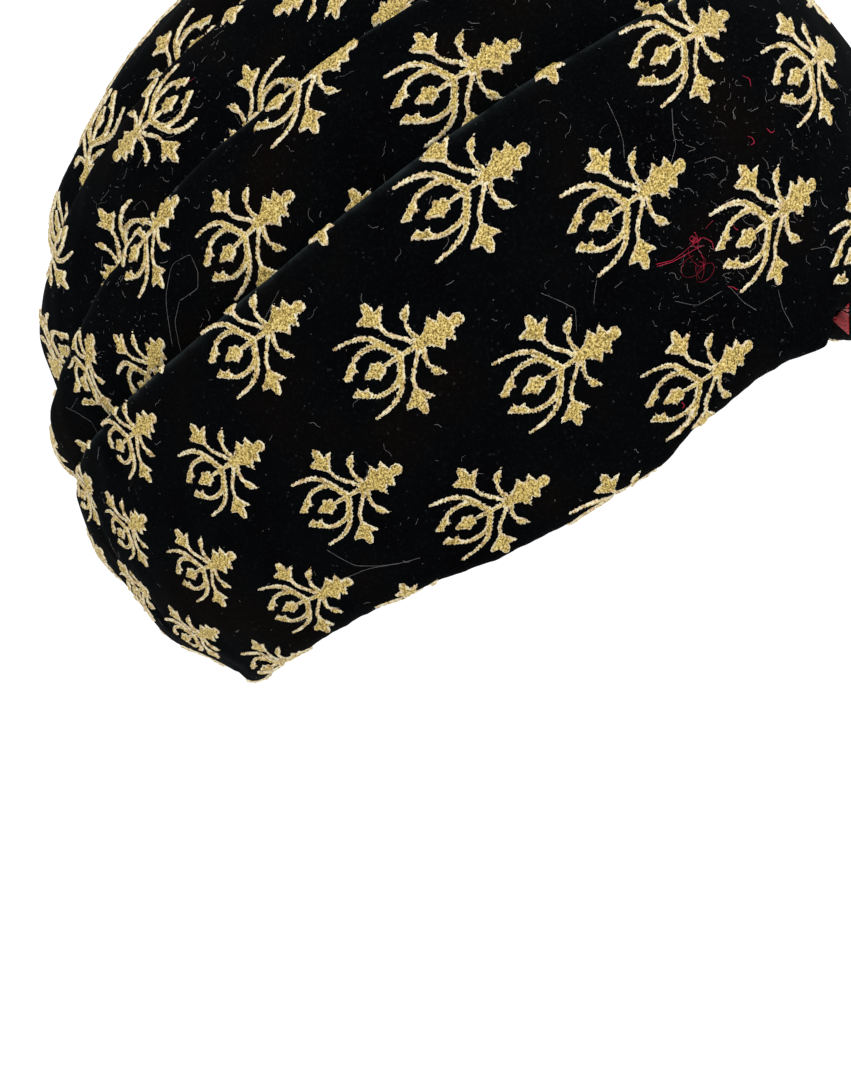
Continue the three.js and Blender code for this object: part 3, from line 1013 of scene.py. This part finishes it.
def fibres_piece(name, fibres, material):
    """Many loose fibres, given as paths with their radii, as one piece."""
    points, faces, count = [], [], 0
    for path, radius in fibres:
        places, net = fibre_net(path, radius, count)
        points.append(places)
        faces.append(net)
        count += len(places)
    piece = new_piece(name, np.concatenate(points), np.concatenate(faces), material)
    return piece


# The corner of the lining that comes out between the two wraps at the forehead

# Its corners, in pixels of the photograph.
LINING_CORNER = {"tip": (832, 320), "above": (849, 303), "below": (849, 335)}
CORNER_STEPS = 9
CORNER_START = 0.02
# Metres in front of and behind the cloth that it lies on.
CORNER_OUT = 0.0006
CORNER_IN = 0.0002


def lining_corner_grids(pieces):
    """The outer and the inner face of that corner, laid on the nearest of the pieces."""
    tip, above, below = (np.array(pixel, float) for pixel in LINING_CORNER.values())
    across = np.linspace(CORNER_START, 1, CORNER_STEPS)[:, None, None]
    down = np.linspace(0, 1, CORNER_STEPS)[None, :, None]
    pixels = tip + across * (mix(above, below, down) - tip)
    rays = np.empty((CORNER_STEPS, CORNER_STEPS, 3))
    rays[..., 0] = PHOTO_FOCUS
    rays[..., 1] = PHOTO_WIDTH / 2 - pixels[..., 0]
    rays[..., 2] = PHOTO_HEIGHT / 2 - pixels[..., 1]
    rays /= np.linalg.norm(rays, axis=-1, keepdims=True)
    away = np.empty((CORNER_STEPS, CORNER_STEPS, 1))
    for row, column in itertools.product(range(CORNER_STEPS), repeat=2):
        hits = [piece.ray_cast(CAMERA_PLACE, rays[row, column]) for piece in pieces]
        away[row, column] = min(np.linalg.norm(np.subtract(hit[1], CAMERA_PLACE)) for hit in hits if hit[0])
    return CAMERA_PLACE + rays * (away - CORNER_OUT), CAMERA_PLACE + rays * (away + CORNER_IN)


# Lint, hairs and threads that lie on the velvet

# Millimetres on the cloth.
FIBRE_LIFT = 0.12
HAIR_LIFT = 0.1
LINT_LENGTHS = (0.35, 0.45, 0.6, 0.8, 1.1, 1.6, 3.2)
STRAIGHT_LINT = 1.5
LINT_LIFT = 0.5
ROUND_MM = 2.2
# Radii in metres.
LINT_RADIUS = 0.000035
HAIR_RADIUS = 0.000035
RED_RADIUS = 0.00008
# How much one fibre of lint differs from the next, and how it bends at each step, in radians.
LENGTH_RANGE = (0.7, 1.4)
RADIUS_RANGE = (0.7, 1.3)
LINT_BEND = 0.45
LINT_STEPS = 7
POINTS_BETWEEN = 6
# Where lint gathers, in pixels of the photograph, with its spread in millimetres.
LINT_PATCHES = (
    {"x": 790, "y": 170, "spread": 30.0, "share": 0.24},
    {"x": 700, "y": 260, "spread": 14.0, "share": 0.12},
    {"x": 690, "y": 150, "spread": 18.0, "share": 0.08},
    {"x": 150, "y": 160, "spread": 22.0, "share": 0.1},
    {"x": 110, "y": 330, "spread": 16.0, "share": 0.08},
    {"x": 380, "y": 60, "spread": 34.0, "share": 0.1},
)
# The lowest and the highest latitude of lint.
LINT_BELT = (-28.0, 72.0)
# Hairs that show one by one, in pixels of the photograph.
HAIRS = {
    "loop": ((161, 346), (162, 298), (171, 264), (189, 253), (194, 271), (192, 287), (174, 300)),
    "loop end": ((174, 300), (167, 321), (167, 352)),
    "hem curl": ((326, 550), (339, 559), (355, 568), (378, 569), (401, 566), (420, 561)),
    "hem curl end": ((401, 566), (365, 572), (340, 582), (317, 591)),
    "back curl": ((66, 407), (73, 412), (82, 423), (84, 441), (90, 448)),
    "back fork": ((94, 441), (87, 447), (86, 458)),
    "back fork end": ((70, 409), (76, 398)),
    "back speck": ((102, 446), (100, 459)),
    "nape": ((112, 535), (126, 566), (144, 591), (155, 603)),
    "first drop": ((606, 103), (617, 127), (622, 143), (623, 161)),
    "second drop": ((670, 110), (671, 134), (674, 147), (669, 165)),
    "short drop": ((596, 280), (594, 292), (593, 305)),
    "shoulder": ((540, 293), (559, 301), (575, 309), (576, 332)),
    "wide bend": ((674, 301), (696, 306), (719, 291)),
    "front bend": ((725, 288), (738, 303), (752, 311)),
    "front drop": ((772, 290), (778, 309), (790, 328)),
    "white curl": ((683, 147), (694, 151), (686, 154)),
    "arch": ((692, 165), (711, 159), (721, 165)),
    "front speck": ((801, 252), (817, 249), (825, 253)),
    "fold hair": ((250, 352), (270, 312), (281, 290)),
}
RED_THREADS = {
    "strand": ((654, 265), (671, 261), (682, 253), (692, 244), (701, 238), (709, 243), (711, 251)),
    "second strand": ((655, 267), (670, 263), (683, 256), (695, 249), (702, 246)),
    "short end": ((703, 230), (706, 226), (710, 222)),
    "by the flower": ((727, 226), (729, 231), (732, 233)),
    "below": ((723, 287), (728, 288), (732, 291)),
    "above": ((740, 142), (744, 144), (746, 149), (743, 151)),
    "above ahead": ((756, 136), (760, 141), (763, 139)),
    "top": ((736, 82), (742, 86), (743, 94)),
    "pleat": ((272, 83), (275, 87), (279, 84)),
    "hem": ((683, 403), (686, 406), (684, 409)),
    "crown": ((186, 78), (190, 82), (194, 79)),
}
# Tangles: their middle in pixels, their number of loops, and their reach in millimetres.
RED_KNOT = {"x": 693, "y": 242, "loops": 9, "reach": 1.5}
RED_TANGLE = {"x": 695, "y": 264, "loops": 4, "reach": 4.6}
# One loop: its turn and slant in radians, its size, height and stray as shares, its lift in millimetres.
LOOP_TURN = (3.5, 7.0)
LOOP_SIZE = (0.35, 0.75)
LOOP_HEIGHT = (0.5, 1.0)
LOOP_STRAY = 0.3
LOOP_SLANT = 0.4
LOOP_LIFT = {"least": 0.15, "more": 0.5}
LOOP_POINTS = 16


def lying_path(around, latitude, lift):
    """A path that lies on the cloth, in metres."""
    return on_cloth(around, latitude, FIBRE_LIFT + lift)


def soften(values):
    """Each value as the mean of itself and its two neighbours."""
    return np.convolve(np.pad(values, 1, mode="edge"), np.ones(3) / 3, mode="valid")


def drawn_path(line):
    """A smooth path on the cloth through pixels of the photograph."""
    places = np.array([place_at(pixel) for pixel in line])
    t = np.linspace(0, len(line) - 1, POINTS_BETWEEN * len(line))
    knots = np.arange(len(line))
    around, latitude = (np.interp(t, knots, places[:, axis]) for axis in (0, 1))
    return lying_path(soften(around), soften(latitude), np.full(len(t), HAIR_LIFT))


def lint_path(dice, around, latitude, length):
    """A short fibre from a place, which bends a little and lifts off at one end."""
    steps = 2 if length < STRAIGHT_LINT else LINT_STEPS
    heading = dice.uniform(0, math.tau) + np.cumsum(dice.normal(0, LINT_BEND, steps))
    level = math.cos(math.radians(latitude))
    ahead = np.cumsum(np.cos(heading)) * length / steps
    across = np.cumsum(np.sin(heading)) * length / steps
    lift = np.linspace(0, 1, steps) ** 2 * dice.uniform(0, LINT_LIFT)
    return lying_path(around + ahead / (ROUND_MM * level), latitude + across / MM_PER_DEGREE, lift)


def loop_paths(knot, dice):
    """The turns of a tangled thread round a place in the photograph."""
    around, latitude = place_at((knot["x"], knot["y"]))
    for _ in range(knot["loops"]):
        t = np.linspace(0, dice.uniform(*LOOP_TURN), LOOP_POINTS)
        reach = knot["reach"] * dice.uniform(*LOOP_SIZE)
        tall = dice.uniform(*LOOP_HEIGHT)
        lean = dice.uniform(0, math.pi)
        x = reach * np.cos(t) + knot["reach"] * dice.normal(0, LOOP_STRAY)
        y = reach * tall * np.sin(t + LOOP_SLANT) + knot["reach"] * dice.normal(0, LOOP_STRAY)
        across = x * math.cos(lean) - y * math.sin(lean)
        up = x * math.sin(lean) + y * math.cos(lean)
        lift = LOOP_LIFT["least"] + LOOP_LIFT["more"] * dice.uniform() * (1 + np.sin(2 * t))
        yield lying_path(around + across / ROUND_MM, latitude + up / MM_PER_DEGREE, lift)


def lint_places(dice, count):
    """Where lint lies: all over, and thicker in its patches."""
    for patch in LINT_PATCHES:
        around, latitude = place_at((patch["x"], patch["y"]))
        for _ in range(int(count * patch["share"])):
            across, up = dice.normal(0, patch["spread"], 2)
            yield around + across / ROUND_MM, np.clip(latitude + up / MM_PER_DEGREE, *LINT_BELT)
    for _ in range(count):
        yield dice.uniform(-180, 180), dice.uniform(*LINT_BELT)


# Materials

BLACK = (0.0, 0.0, 0.0)
WHITE = (1.0, 1.0, 1.0)


def add_node(tree, kind, settings=None, links=None):
    """Adds a node with its settings and links. The setting stops holds the colours of a colour ramp."""
    node = tree.nodes.new(kind)
    for key, value in (settings or {}).items():
        if key == "stops":
            elements = node.color_ramp.elements
            while len(elements) < len(value):
                elements.new(0.5)
            for element, (place, colour) in zip(elements, value):
                element.position = place
                element.color = (*colour, 1)
        elif isinstance(key, int) or key in node.inputs:
            node.inputs[key].default_value = value
        else:
            setattr(node, key, value)
    for key, source in (links or {}).items():
        tree.links.new(source, node.inputs[key])
    return node


def new_material(name):
    material = bpy.data.materials.new(name)
    material.use_nodes = True
    tree = material.node_tree
    tree.nodes.clear()
    return material, tree


def cut_pile_velvet(colours):
    """Silk-look velvet, woven with a cut pile and dyed black.

    The upright pile swallows light and only its tips catch it at a grazing angle, as a cool bloom.
    """
    material, tree = new_material("cut_pile_velvet")
    place = add_node(tree, "ShaderNodeTexCoord").outputs["Object"]
    # Pile tufts stand about 0.5 mm apart, drawn at 0.9 mm so that they show.
    tufts = add_node(
        tree, "ShaderNodeTexNoise", {"Scale": 1100.0, "Detail": 3.0, "Roughness": 0.7}, {"Vector": place}
    )
    # The pile leans here and there in patches of about 25 mm, and the dye looks warmer or cooler with it.
    leaning = add_node(
        tree, "ShaderNodeTexNoise", {"Scale": 40.0, "Detail": 2.0, "Roughness": 0.5}, {"Vector": place}
    )
    shade = add_node(
        tree,
        "ShaderNodeValToRGB",
        {"stops": ((0.3, colours.velvet_deep), (0.5, colours.velvet), (0.68, colours.velvet_warm))},
        {"Fac": leaning.outputs["Fac"]},
    )
    tips = add_node(
        tree, "ShaderNodeValToRGB", {"stops": ((0.52, BLACK), (0.8, WHITE))}, {"Fac": tufts.outputs["Fac"]}
    )
    tip_share = add_node(
        tree, "ShaderNodeMath", {"operation": "MULTIPLY", 1: 0.25}, {0: tips.outputs["Color"]}
    )
    # Painted sheen along the folds, where the rounded crest catches the light, broken up unevenly every few
    # millimetres.
    sheen_mask = add_node(tree, "ShaderNodeAttribute", {"attribute_name": "fold_wear"}).outputs["Fac"]
    uneven = add_node(
        tree, "ShaderNodeTexNoise", {"Scale": 150.0, "Detail": 3.0, "Roughness": 0.7}, {"Vector": place}
    )
    patchy = add_node(
        tree,
        "ShaderNodeValToRGB",
        {"stops": ((0.36, (0.12, 0.12, 0.12)), (0.68, WHITE))},
        {"Fac": uneven.outputs["Fac"]},
    )
    broken_sheen = add_node(
        tree, "ShaderNodeMath", {"operation": "MULTIPLY"}, {0: sheen_mask, 1: patchy.outputs["Color"]}
    )
    # Dust sits in the pile in specks about 0.6 mm across and 2 mm apart.
    specks = add_node(tree, "ShaderNodeTexVoronoi", {"Scale": 520.0}, {"Vector": place})
    near_speck = add_node(
        tree,
        "ShaderNodeValToRGB",
        {"stops": ((0.1, WHITE), (0.2, BLACK))},
        {"Fac": specks.outputs["Distance"]},
    )
    dusty = add_node(
        tree,
        "ShaderNodeValToRGB",
        {"stops": ((0.5, BLACK), (0.72, (0.5, 0.5, 0.5)))},
        {"Fac": uneven.outputs["Fac"]},
    )
    dust = add_node(
        tree,
        "ShaderNodeMath",
        {"operation": "MULTIPLY"},
        {0: near_speck.outputs["Color"], 1: dusty.outputs["Color"]},
    )
    # Real dust and the painted fold sheen, whichever is paler.
    pale = add_node(
        tree, "ShaderNodeMath", {"operation": "MAXIMUM"}, {0: broken_sheen.outputs[0], 1: dust.outputs[0]}
    )
    tipped = add_node(
        tree,
        "ShaderNodeMix",
        {"data_type": "RGBA", 7: (*colours.velvet_tip, 1)},
        {0: tip_share.outputs[0], 6: shade.outputs["Color"]},
    )
    # Paints the dust and the fold-crest sheen highlight into the base colour.
    sheened = add_node(
        tree,
        "ShaderNodeMix",
        {"data_type": "RGBA", 7: (*colours.velvet_sheen_and_dust, 1)},
        {0: pale.outputs[0], 6: tipped.outputs[2]},
    )
    bump = add_node(
        tree, "ShaderNodeBump", {"Strength": 0.5, "Distance": 0.0005}, {"Height": tufts.outputs["Fac"]}
    )
    surface = add_node(
        tree,
        "ShaderNodeBsdfPrincipled",
        {
            "Roughness": 0.95,
            "IOR": 1.45,
            "Specular IOR Level": 0.012,
            "Sheen Weight": 0.009,
            "Sheen Roughness": 0.3,
            "Sheen Tint": (*colours.velvet_bloom, 1),
        },
        {"Base Color": sheened.outputs[2], "Normal": bump.outputs["Normal"]},
    )
    add_node(tree, "ShaderNodeOutputMaterial", links={"Surface": surface.outputs["BSDF"]})
    return material


def plain_woven_lining(colours):
    """Cotton lining, plain woven and dyed red. It looks flat and matt, with a fine grid of threads."""
    material, tree = new_material("plain_woven_lining")
    place = add_node(tree, "ShaderNodeTexCoord").outputs["Object"]
    # Threads lie 0.35 mm apart, drawn at 0.8 mm so that they show.
    warp, weft = (
        add_node(
            tree,
            "ShaderNodeTexWave",
            {"Scale": 390.0, "bands_direction": direction, "Distortion": 1.0},
            {"Vector": place},
        )
        for direction in ("Y", "Z")
    )
    weave = add_node(
        tree, "ShaderNodeMath", {"operation": "MAXIMUM"}, {0: warp.outputs["Fac"], 1: weft.outputs["Fac"]}
    )
    colour = add_node(
        tree,
        "ShaderNodeValToRGB",
        {"stops": ((0.2, colours.lining_shade), (0.9, colours.lining))},
        {"Fac": weave.outputs[0]},
    )
    bump = add_node(
        tree, "ShaderNodeBump", {"Strength": 0.4, "Distance": 0.0003}, {"Height": weave.outputs[0]}
    )
    surface = add_node(
        tree,
        "ShaderNodeBsdfPrincipled",
        {"Roughness": 0.85, "IOR": 1.5, "Specular IOR Level": 0.3, "Sheen Weight": 0.1},
        {"Base Color": colour.outputs["Color"], "Normal": bump.outputs["Normal"]},
    )
    add_node(tree, "ShaderNodeOutputMaterial", links={"Surface": surface.outputs["BSDF"]})
    return material


def couched_gold_thread(colours):
    """Gold metal thread, laid and couched inside a pale stitched outline.

    The fill glitters in grains where each thread dips under a stitch, and the outline is a matt pale cord.
    """
    material, tree = new_material("couched_gold_thread")
    place = add_node(tree, "ShaderNodeTexCoord").outputs["Object"]
    depth = add_node(tree, "ShaderNodeAttribute", {"attribute_name": "stitch_depth"}).outputs["Fac"]
    # Couching stitches stand about 0.5 mm apart.
    grains = add_node(
        tree, "ShaderNodeTexNoise", {"Scale": 1900.0, "Detail": 2.0, "Roughness": 0.8}, {"Vector": place}
    )
    coarse = add_node(tree, "ShaderNodeTexNoise", {"Scale": 700.0, "Detail": 2.0}, {"Vector": place})
    gold_stops = (
        (0.38, colours.gold_shade),
        (0.47, colours.gold_deep),
        (0.54, colours.gold),
        (0.66, colours.gold_glint),
    )
    fill = add_node(tree, "ShaderNodeValToRGB", {"stops": gold_stops}, {"Fac": grains.outputs["Fac"]})
    cord_stops = ((0.3, colours.gold_deep), (0.4, colours.outline_blush), (0.52, colours.outline))
    edge = add_node(tree, "ShaderNodeValToRGB", {"stops": cord_stops}, {"Fac": coarse.outputs["Fac"]})
    wander = add_node(
        tree, "ShaderNodeMath", {"operation": "MULTIPLY_ADD", 1: 0.5, 2: -0.25}, {0: coarse.outputs["Fac"]}
    )
    frayed = add_node(tree, "ShaderNodeMath", {"operation": "ADD"}, {0: depth, 1: wander.outputs[0]})
    # The pale cord of the outline is about 0.45 mm thick.
    inside = add_node(
        tree, "ShaderNodeValToRGB", {"stops": ((0.38, BLACK), (0.5, WHITE))}, {"Fac": frayed.outputs[0]}
    )
    both = add_node(
        tree,
        "ShaderNodeMix",
        {"data_type": "RGBA"},
        {0: inside.outputs["Color"], 6: edge.outputs["Color"], 7: fill.outputs["Color"]},
    )
    bump = add_node(
        tree, "ShaderNodeBump", {"Strength": 0.8, "Distance": 0.0006}, {"Height": grains.outputs["Fac"]}
    )
    surface = add_node(
        tree,
        "ShaderNodeBsdfPrincipled",
        {"Metallic": 0.25, "Roughness": 0.5, "IOR": 1.5, "Specular IOR Level": 0.4},
        {"Base Color": both.outputs[2], "Normal": bump.outputs["Normal"]},
    )
    add_node(tree, "ShaderNodeOutputMaterial", links={"Surface": surface.outputs["BSDF"]})
    return material


def spun_fibre(name, light, dark):
    """Loose spun fibre, such as lint or sewing thread. It is matt, and uneven in colour along its length."""
    material, tree = new_material(name)
    place = add_node(tree, "ShaderNodeTexCoord").outputs["Object"]
    # Each fibre changes colour about every 3 mm.
    uneven = add_node(tree, "ShaderNodeTexNoise", {"Scale": 330.0, "Detail": 1.0}, {"Vector": place})
    colour = add_node(
        tree, "ShaderNodeValToRGB", {"stops": ((0.35, dark), (0.6, light))}, {"Fac": uneven.outputs["Fac"]}
    )
    surface = add_node(
        tree,
        "ShaderNodeBsdfPrincipled",
        {"Roughness": 0.7, "IOR": 1.5, "Specular IOR Level": 0.3},
        {"Base Color": colour.outputs["Color"]},
    )
    add_node(tree, "ShaderNodeOutputMaterial", links={"Surface": surface.outputs["BSDF"]})
    return material


def matt_paint(colour):
    """Matt painted board for the floor, which looks even and pale."""
    material, tree = new_material("matt_paint")
    place = add_node(tree, "ShaderNodeTexCoord").outputs["Object"]
    # Roller stipple, about 2 mm.
    stipple = add_node(tree, "ShaderNodeTexNoise", {"Scale": 500.0}, {"Vector": place})
    bump = add_node(
        tree, "ShaderNodeBump", {"Strength": 0.05, "Distance": 0.0002}, {"Height": stipple.outputs["Fac"]}
    )
    surface = add_node(
        tree,
        "ShaderNodeBsdfPrincipled",
        {"Base Color": (*colour, 1), "Roughness": 0.9, "IOR": 1.5, "Specular IOR Level": 0.2},
        {"Normal": bump.outputs["Normal"]},
    )
    add_node(tree, "ShaderNodeOutputMaterial", links={"Surface": surface.outputs["BSDF"]})
    return material


def material_once(name, make, *given):
    return bpy.data.materials.get(name) or make(*given)


# Settings

def colour_setting(name, description, hex_colour):
    return FloatVectorProperty(
        name=name, description=description, subtype="COLOR", size=3, default=linear(hex_colour)
    )


class TURBAN_PG_settings(bpy.types.PropertyGroup):
    sprig_scale: FloatProperty(
        name="Sprig scale",
        description="Size of each gold sprig against its usual 35 mm",
        default=1.0,
        min=0.5,
        max=2,
    )
    relief: FloatProperty(
        name="Relief",
        description="How far the gold thread stands off the velvet",
        default=0.0006,
        unit="LENGTH",
    )
    lint_count: IntProperty(name="Lint", description="Loose fibres on the velvet", default=1500, min=0)
    velvet: colour_setting("Velvet", "Colour of the pile", "#040506")
    velvet_deep: colour_setting("Deep velvet", "Colour where the pile leans away", "#030304")
    velvet_warm: colour_setting("Warm velvet", "Colour where the dye looks brown", "#080605")
    velvet_tip: colour_setting("Pile tips", "Colour of the tips of the pile", "#1C2025")
    # One colour for the painted sheen highlight along the fold crests and for real dust specks.
    velvet_sheen_and_dust: colour_setting(
        "Fold sheen and dust", "Colour of painted sheen along the fold crests, and of dust", "#353D3F"
    )
    velvet_bloom: colour_setting("Bloom", "Tint of the sheen on the velvet", "#9FC0CC")
    lining: colour_setting("Lining", "Colour of the lining", "#B01525")
    lining_shade: colour_setting("Lining shade", "Colour between the threads of the lining", "#6E0A16")
    gold: colour_setting("Gold", "Colour of the gold thread", "#D2B45C")
    gold_deep: colour_setting("Deep gold", "Gold thread in shade", "#A38A40")
    gold_shade: colour_setting("Gold shade", "Gaps between the stitches", "#54431C")
    gold_glint: colour_setting("Gold glint", "Gold thread in the light", "#F0E1A0")
    outline: colour_setting("Outline", "Colour of the stitched outline", "#F4EAC8")
    outline_blush: colour_setting("Outline blush", "Second colour of the stitched outline", "#DDBF98")
    lint: colour_setting("Lint colour", "Colour of lint and hairs", "#8E8A86")
    lint_shade: colour_setting("Lint shade", "Darker colour of lint and hairs", "#6F6C70")
    loose_red: colour_setting("Red thread", "Colour of the loose red thread", "#C21C44")
    loose_red_shade: colour_setting("Red thread shade", "Darker colour of the loose red thread", "#741022")
    floor: colour_setting("Floor", "Colour of the floor", "#FBFBFA")


def velvet_of(context):
    return material_once("cut_pile_velvet", cut_pile_velvet, context.scene.turban)


# Operators

class TURBAN_OT_lining(bpy.types.Operator):
    """Makes the red cap inside"""

    bl_idname = "turban.lining"
    bl_label = "Lining"

    def execute(self, context):
        material = material_once("plain_woven_lining", plain_woven_lining, context.scene.turban)
        piece = sheet_piece("inner_cap", lining_grids(), True, False, True, material)
        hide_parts("lining")
        return {"FINISHED"}


class TURBAN_OT_lining_corner(bpy.types.Operator):
    """Makes the corner of the lining that comes out between the two wraps"""

    bl_idname = "turban.lining_corner"
    bl_label = "Lining corner"

    def execute(self, context):
        context.view_layer.update()
        pieces = [bpy.data.objects[name] for name in ("left_side_wrap", "right_side_wrap", "inner_cap")]
        material = material_once("plain_woven_lining", plain_woven_lining, context.scene.turban)
        corner = sheet_piece("lining_corner", lining_corner_grids(pieces), False, False, False, material)
        return {"FINISHED"}


class TURBAN_OT_wraps(bpy.types.Operator):
    """Makes the two side wraps with their folds, rolled hems and facings"""

    bl_idname = "turban.wraps"
    bl_label = "Side wraps"

    def execute(self, context):
        for side in WRAPS:
            piece = sheet_piece(f"{side}_side_wrap", wrap_grids(side), False, True, False, velvet_of(context))
            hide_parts(f"{side}_wrap")
        return {"FINISHED"}


class TURBAN_OT_pleats(bpy.types.Operator):
    """Makes the two pleats over the sides"""

    bl_idname = "turban.pleats"
    bl_label = "Pleats"

    def execute(self, context):
        for name, pleat in PLEATS.items():
            piece = sheet_piece(name, pleat_grids(pleat), True, True, False, velvet_of(context))
            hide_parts(pleat["node"])
        return {"FINISHED"}


class TURBAN_OT_crown(bpy.types.Operator):
    """Makes the cloth over the top"""

    bl_idname = "turban.crown"
    bl_label = "Crown"

    def execute(self, context):
        piece = sheet_piece("crown_cloth", crown_grids(), True, False, True, velvet_of(context))
        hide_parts("crown")
        return {"FINISHED"}


class TURBAN_OT_sprigs(bpy.types.Operator):
    """Makes the raised gold sprigs on every panel"""

    bl_idname = "turban.sprigs"
    bl_label = "Gold sprigs"

    def execute(self, context):
        settings = context.scene.turban
        material = material_once("couched_gold_thread", couched_gold_thread, settings)
        for name, panel in PANELS.items():
            sprigs_on(f"{name}_sprigs", panel, settings, material)
        return {"FINISHED"}


class TURBAN_OT_loose_threads(bpy.types.Operator):
    """Makes the lint, the hairs and the red threads that lie on the velvet"""

    bl_idname = "turban.loose_threads"
    bl_label = "Loose threads"

    def execute(self, context):
        settings = context.scene.turban
        dice = np.random.default_rng(SEED)
        pale = material_once("spun_lint", spun_fibre, "spun_lint", settings.lint, settings.lint_shade)
        reds = (settings.loose_red, settings.loose_red_shade)
        red = material_once("spun_red_thread", spun_fibre, "spun_red_thread", *reds)
        lint = []
        for around, latitude in lint_places(dice, settings.lint_count):
            path = lint_path(dice, around, latitude, dice.choice(LINT_LENGTHS) * dice.uniform(*LENGTH_RANGE))
            lint.append((path, LINT_RADIUS * dice.uniform(*RADIUS_RANGE)))
        fibres_piece("lint", lint, pale)
        fibres_piece("loose_hairs", [(drawn_path(line), HAIR_RADIUS) for line in HAIRS.values()], pale)
        paths = [drawn_path(line) for line in RED_THREADS.values()]
        threads = [(path, RED_RADIUS) for path in paths + list(loop_paths(RED_KNOT, dice))]
        threads += [(path, HAIR_RADIUS) for path in loop_paths(RED_TANGLE, dice)]
        fibres_piece("loose_red_threads", threads, red)
        return {"FINISHED"}


class TURBAN_OT_cloth(bpy.types.Operator):
    """Makes nothing and finishes at once"""

    bl_idname = "turban.cloth"
    bl_label = "Cut sizes"

    def execute(self, context):
        return {"FINISHED"}


FLOOR_LEVEL = -0.42
FLOOR_SIZE = 14.0
ROOM_LIGHT = 1.1
LAMP_POWER = 4.0


class TURBAN_OT_stage(bpy.types.Operator):
    """Makes the pale floor, the soft light and the camera at the wearer's right"""

    bl_idname = "turban.stage"
    bl_label = "Stage"

    def execute(self, context):
        scene = context.scene
        camera = bpy.data.objects.new("camera", bpy.data.cameras.new("camera"))
        camera.data.lens = CAMERA_LENS
        camera.data.sensor_width = CAMERA_SENSOR
        camera.data.clip_start = 0.01
        camera.location = CAMERA_PLACE
        camera.rotation_euler = (math.pi / 2, 0, -math.pi / 2)
        scene.collection.objects.link(camera)
        scene.camera = camera

        world = bpy.data.worlds.new("white_room")
        world.use_nodes = True
        world.node_tree.nodes["Background"].inputs["Color"].default_value = (1, 1, 1, 1)
        world.node_tree.nodes["Background"].inputs["Strength"].default_value = ROOM_LIGHT
        scene.world = world
        scene.view_settings.view_transform = "Standard"

        lamp_data = bpy.data.lights.new("soft_box", "AREA")
        lamp_data.shape = "RECTANGLE"
        lamp_data.size = 0.9
        lamp_data.size_y = 0.7
        lamp_data.energy = LAMP_POWER
        lamp = bpy.data.objects.new("soft_box", lamp_data)
        lamp.location = (-0.75, -0.35, 0.75)
        lamp.rotation_euler = (math.radians(48), 0, math.radians(-65))
        scene.collection.objects.link(lamp)

        corners = np.array([(-1, -1), (1, -1), (1, 1), (-1, 1)]) * FLOOR_SIZE / 2
        points = [(x, y, FLOOR_LEVEL) for x, y in corners]
        mesh = bpy.data.meshes.new("floor")
        mesh.from_pydata(points, [], [(0, 1, 2, 3)])
        mesh.materials.append(material_once("matt_paint", matt_paint, context.scene.turban.floor))
        floor = bpy.data.objects.new("floor", mesh)
        scene.collection.objects.link(floor)
        floor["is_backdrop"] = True
        return {"FINISHED"}


class TURBAN_PT_panel(bpy.types.Panel):
    """Lists the pieces of the turban and their settings"""

    bl_idname = "TURBAN_PT_panel"
    bl_label = "Velvet Turban"
    bl_space_type = "VIEW_3D"
    bl_region_type = "UI"
    bl_category = "Turban"

    def draw(self, context):
        for operator in OPERATORS:
            self.layout.operator(operator.bl_idname)
        for name in TURBAN_PG_settings.__annotations__:
            self.layout.prop(context.scene.turban, name)


OPERATORS = (
    TURBAN_OT_stage,
    TURBAN_OT_lining,
    TURBAN_OT_wraps,
    TURBAN_OT_pleats,
    TURBAN_OT_crown,
    TURBAN_OT_lining_corner,
    TURBAN_OT_sprigs,
    TURBAN_OT_loose_threads,
    TURBAN_OT_cloth,
)
CLASSES = (TURBAN_PG_settings, *OPERATORS, TURBAN_PT_panel)


def register():
    for each in CLASSES:
        bpy.utils.register_class(each)
    bpy.types.Scene.turban = PointerProperty(type=TURBAN_PG_settings)


def unregister():
    del bpy.types.Scene.turban
    for each in reversed(CLASSES):
        bpy.utils.unregister_class(each)


def main():
    register()
    for operator in OPERATORS:
        group, name = operator.bl_idname.split(".")
        getattr(getattr(bpy.ops, group), name)()
    boxes = {"cad": CAD_BOX, "visual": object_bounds()}
    plain = {name: [list(corner) for corner in box] for name, box in boxes.items()}


if __name__ == "__main__":
    main()
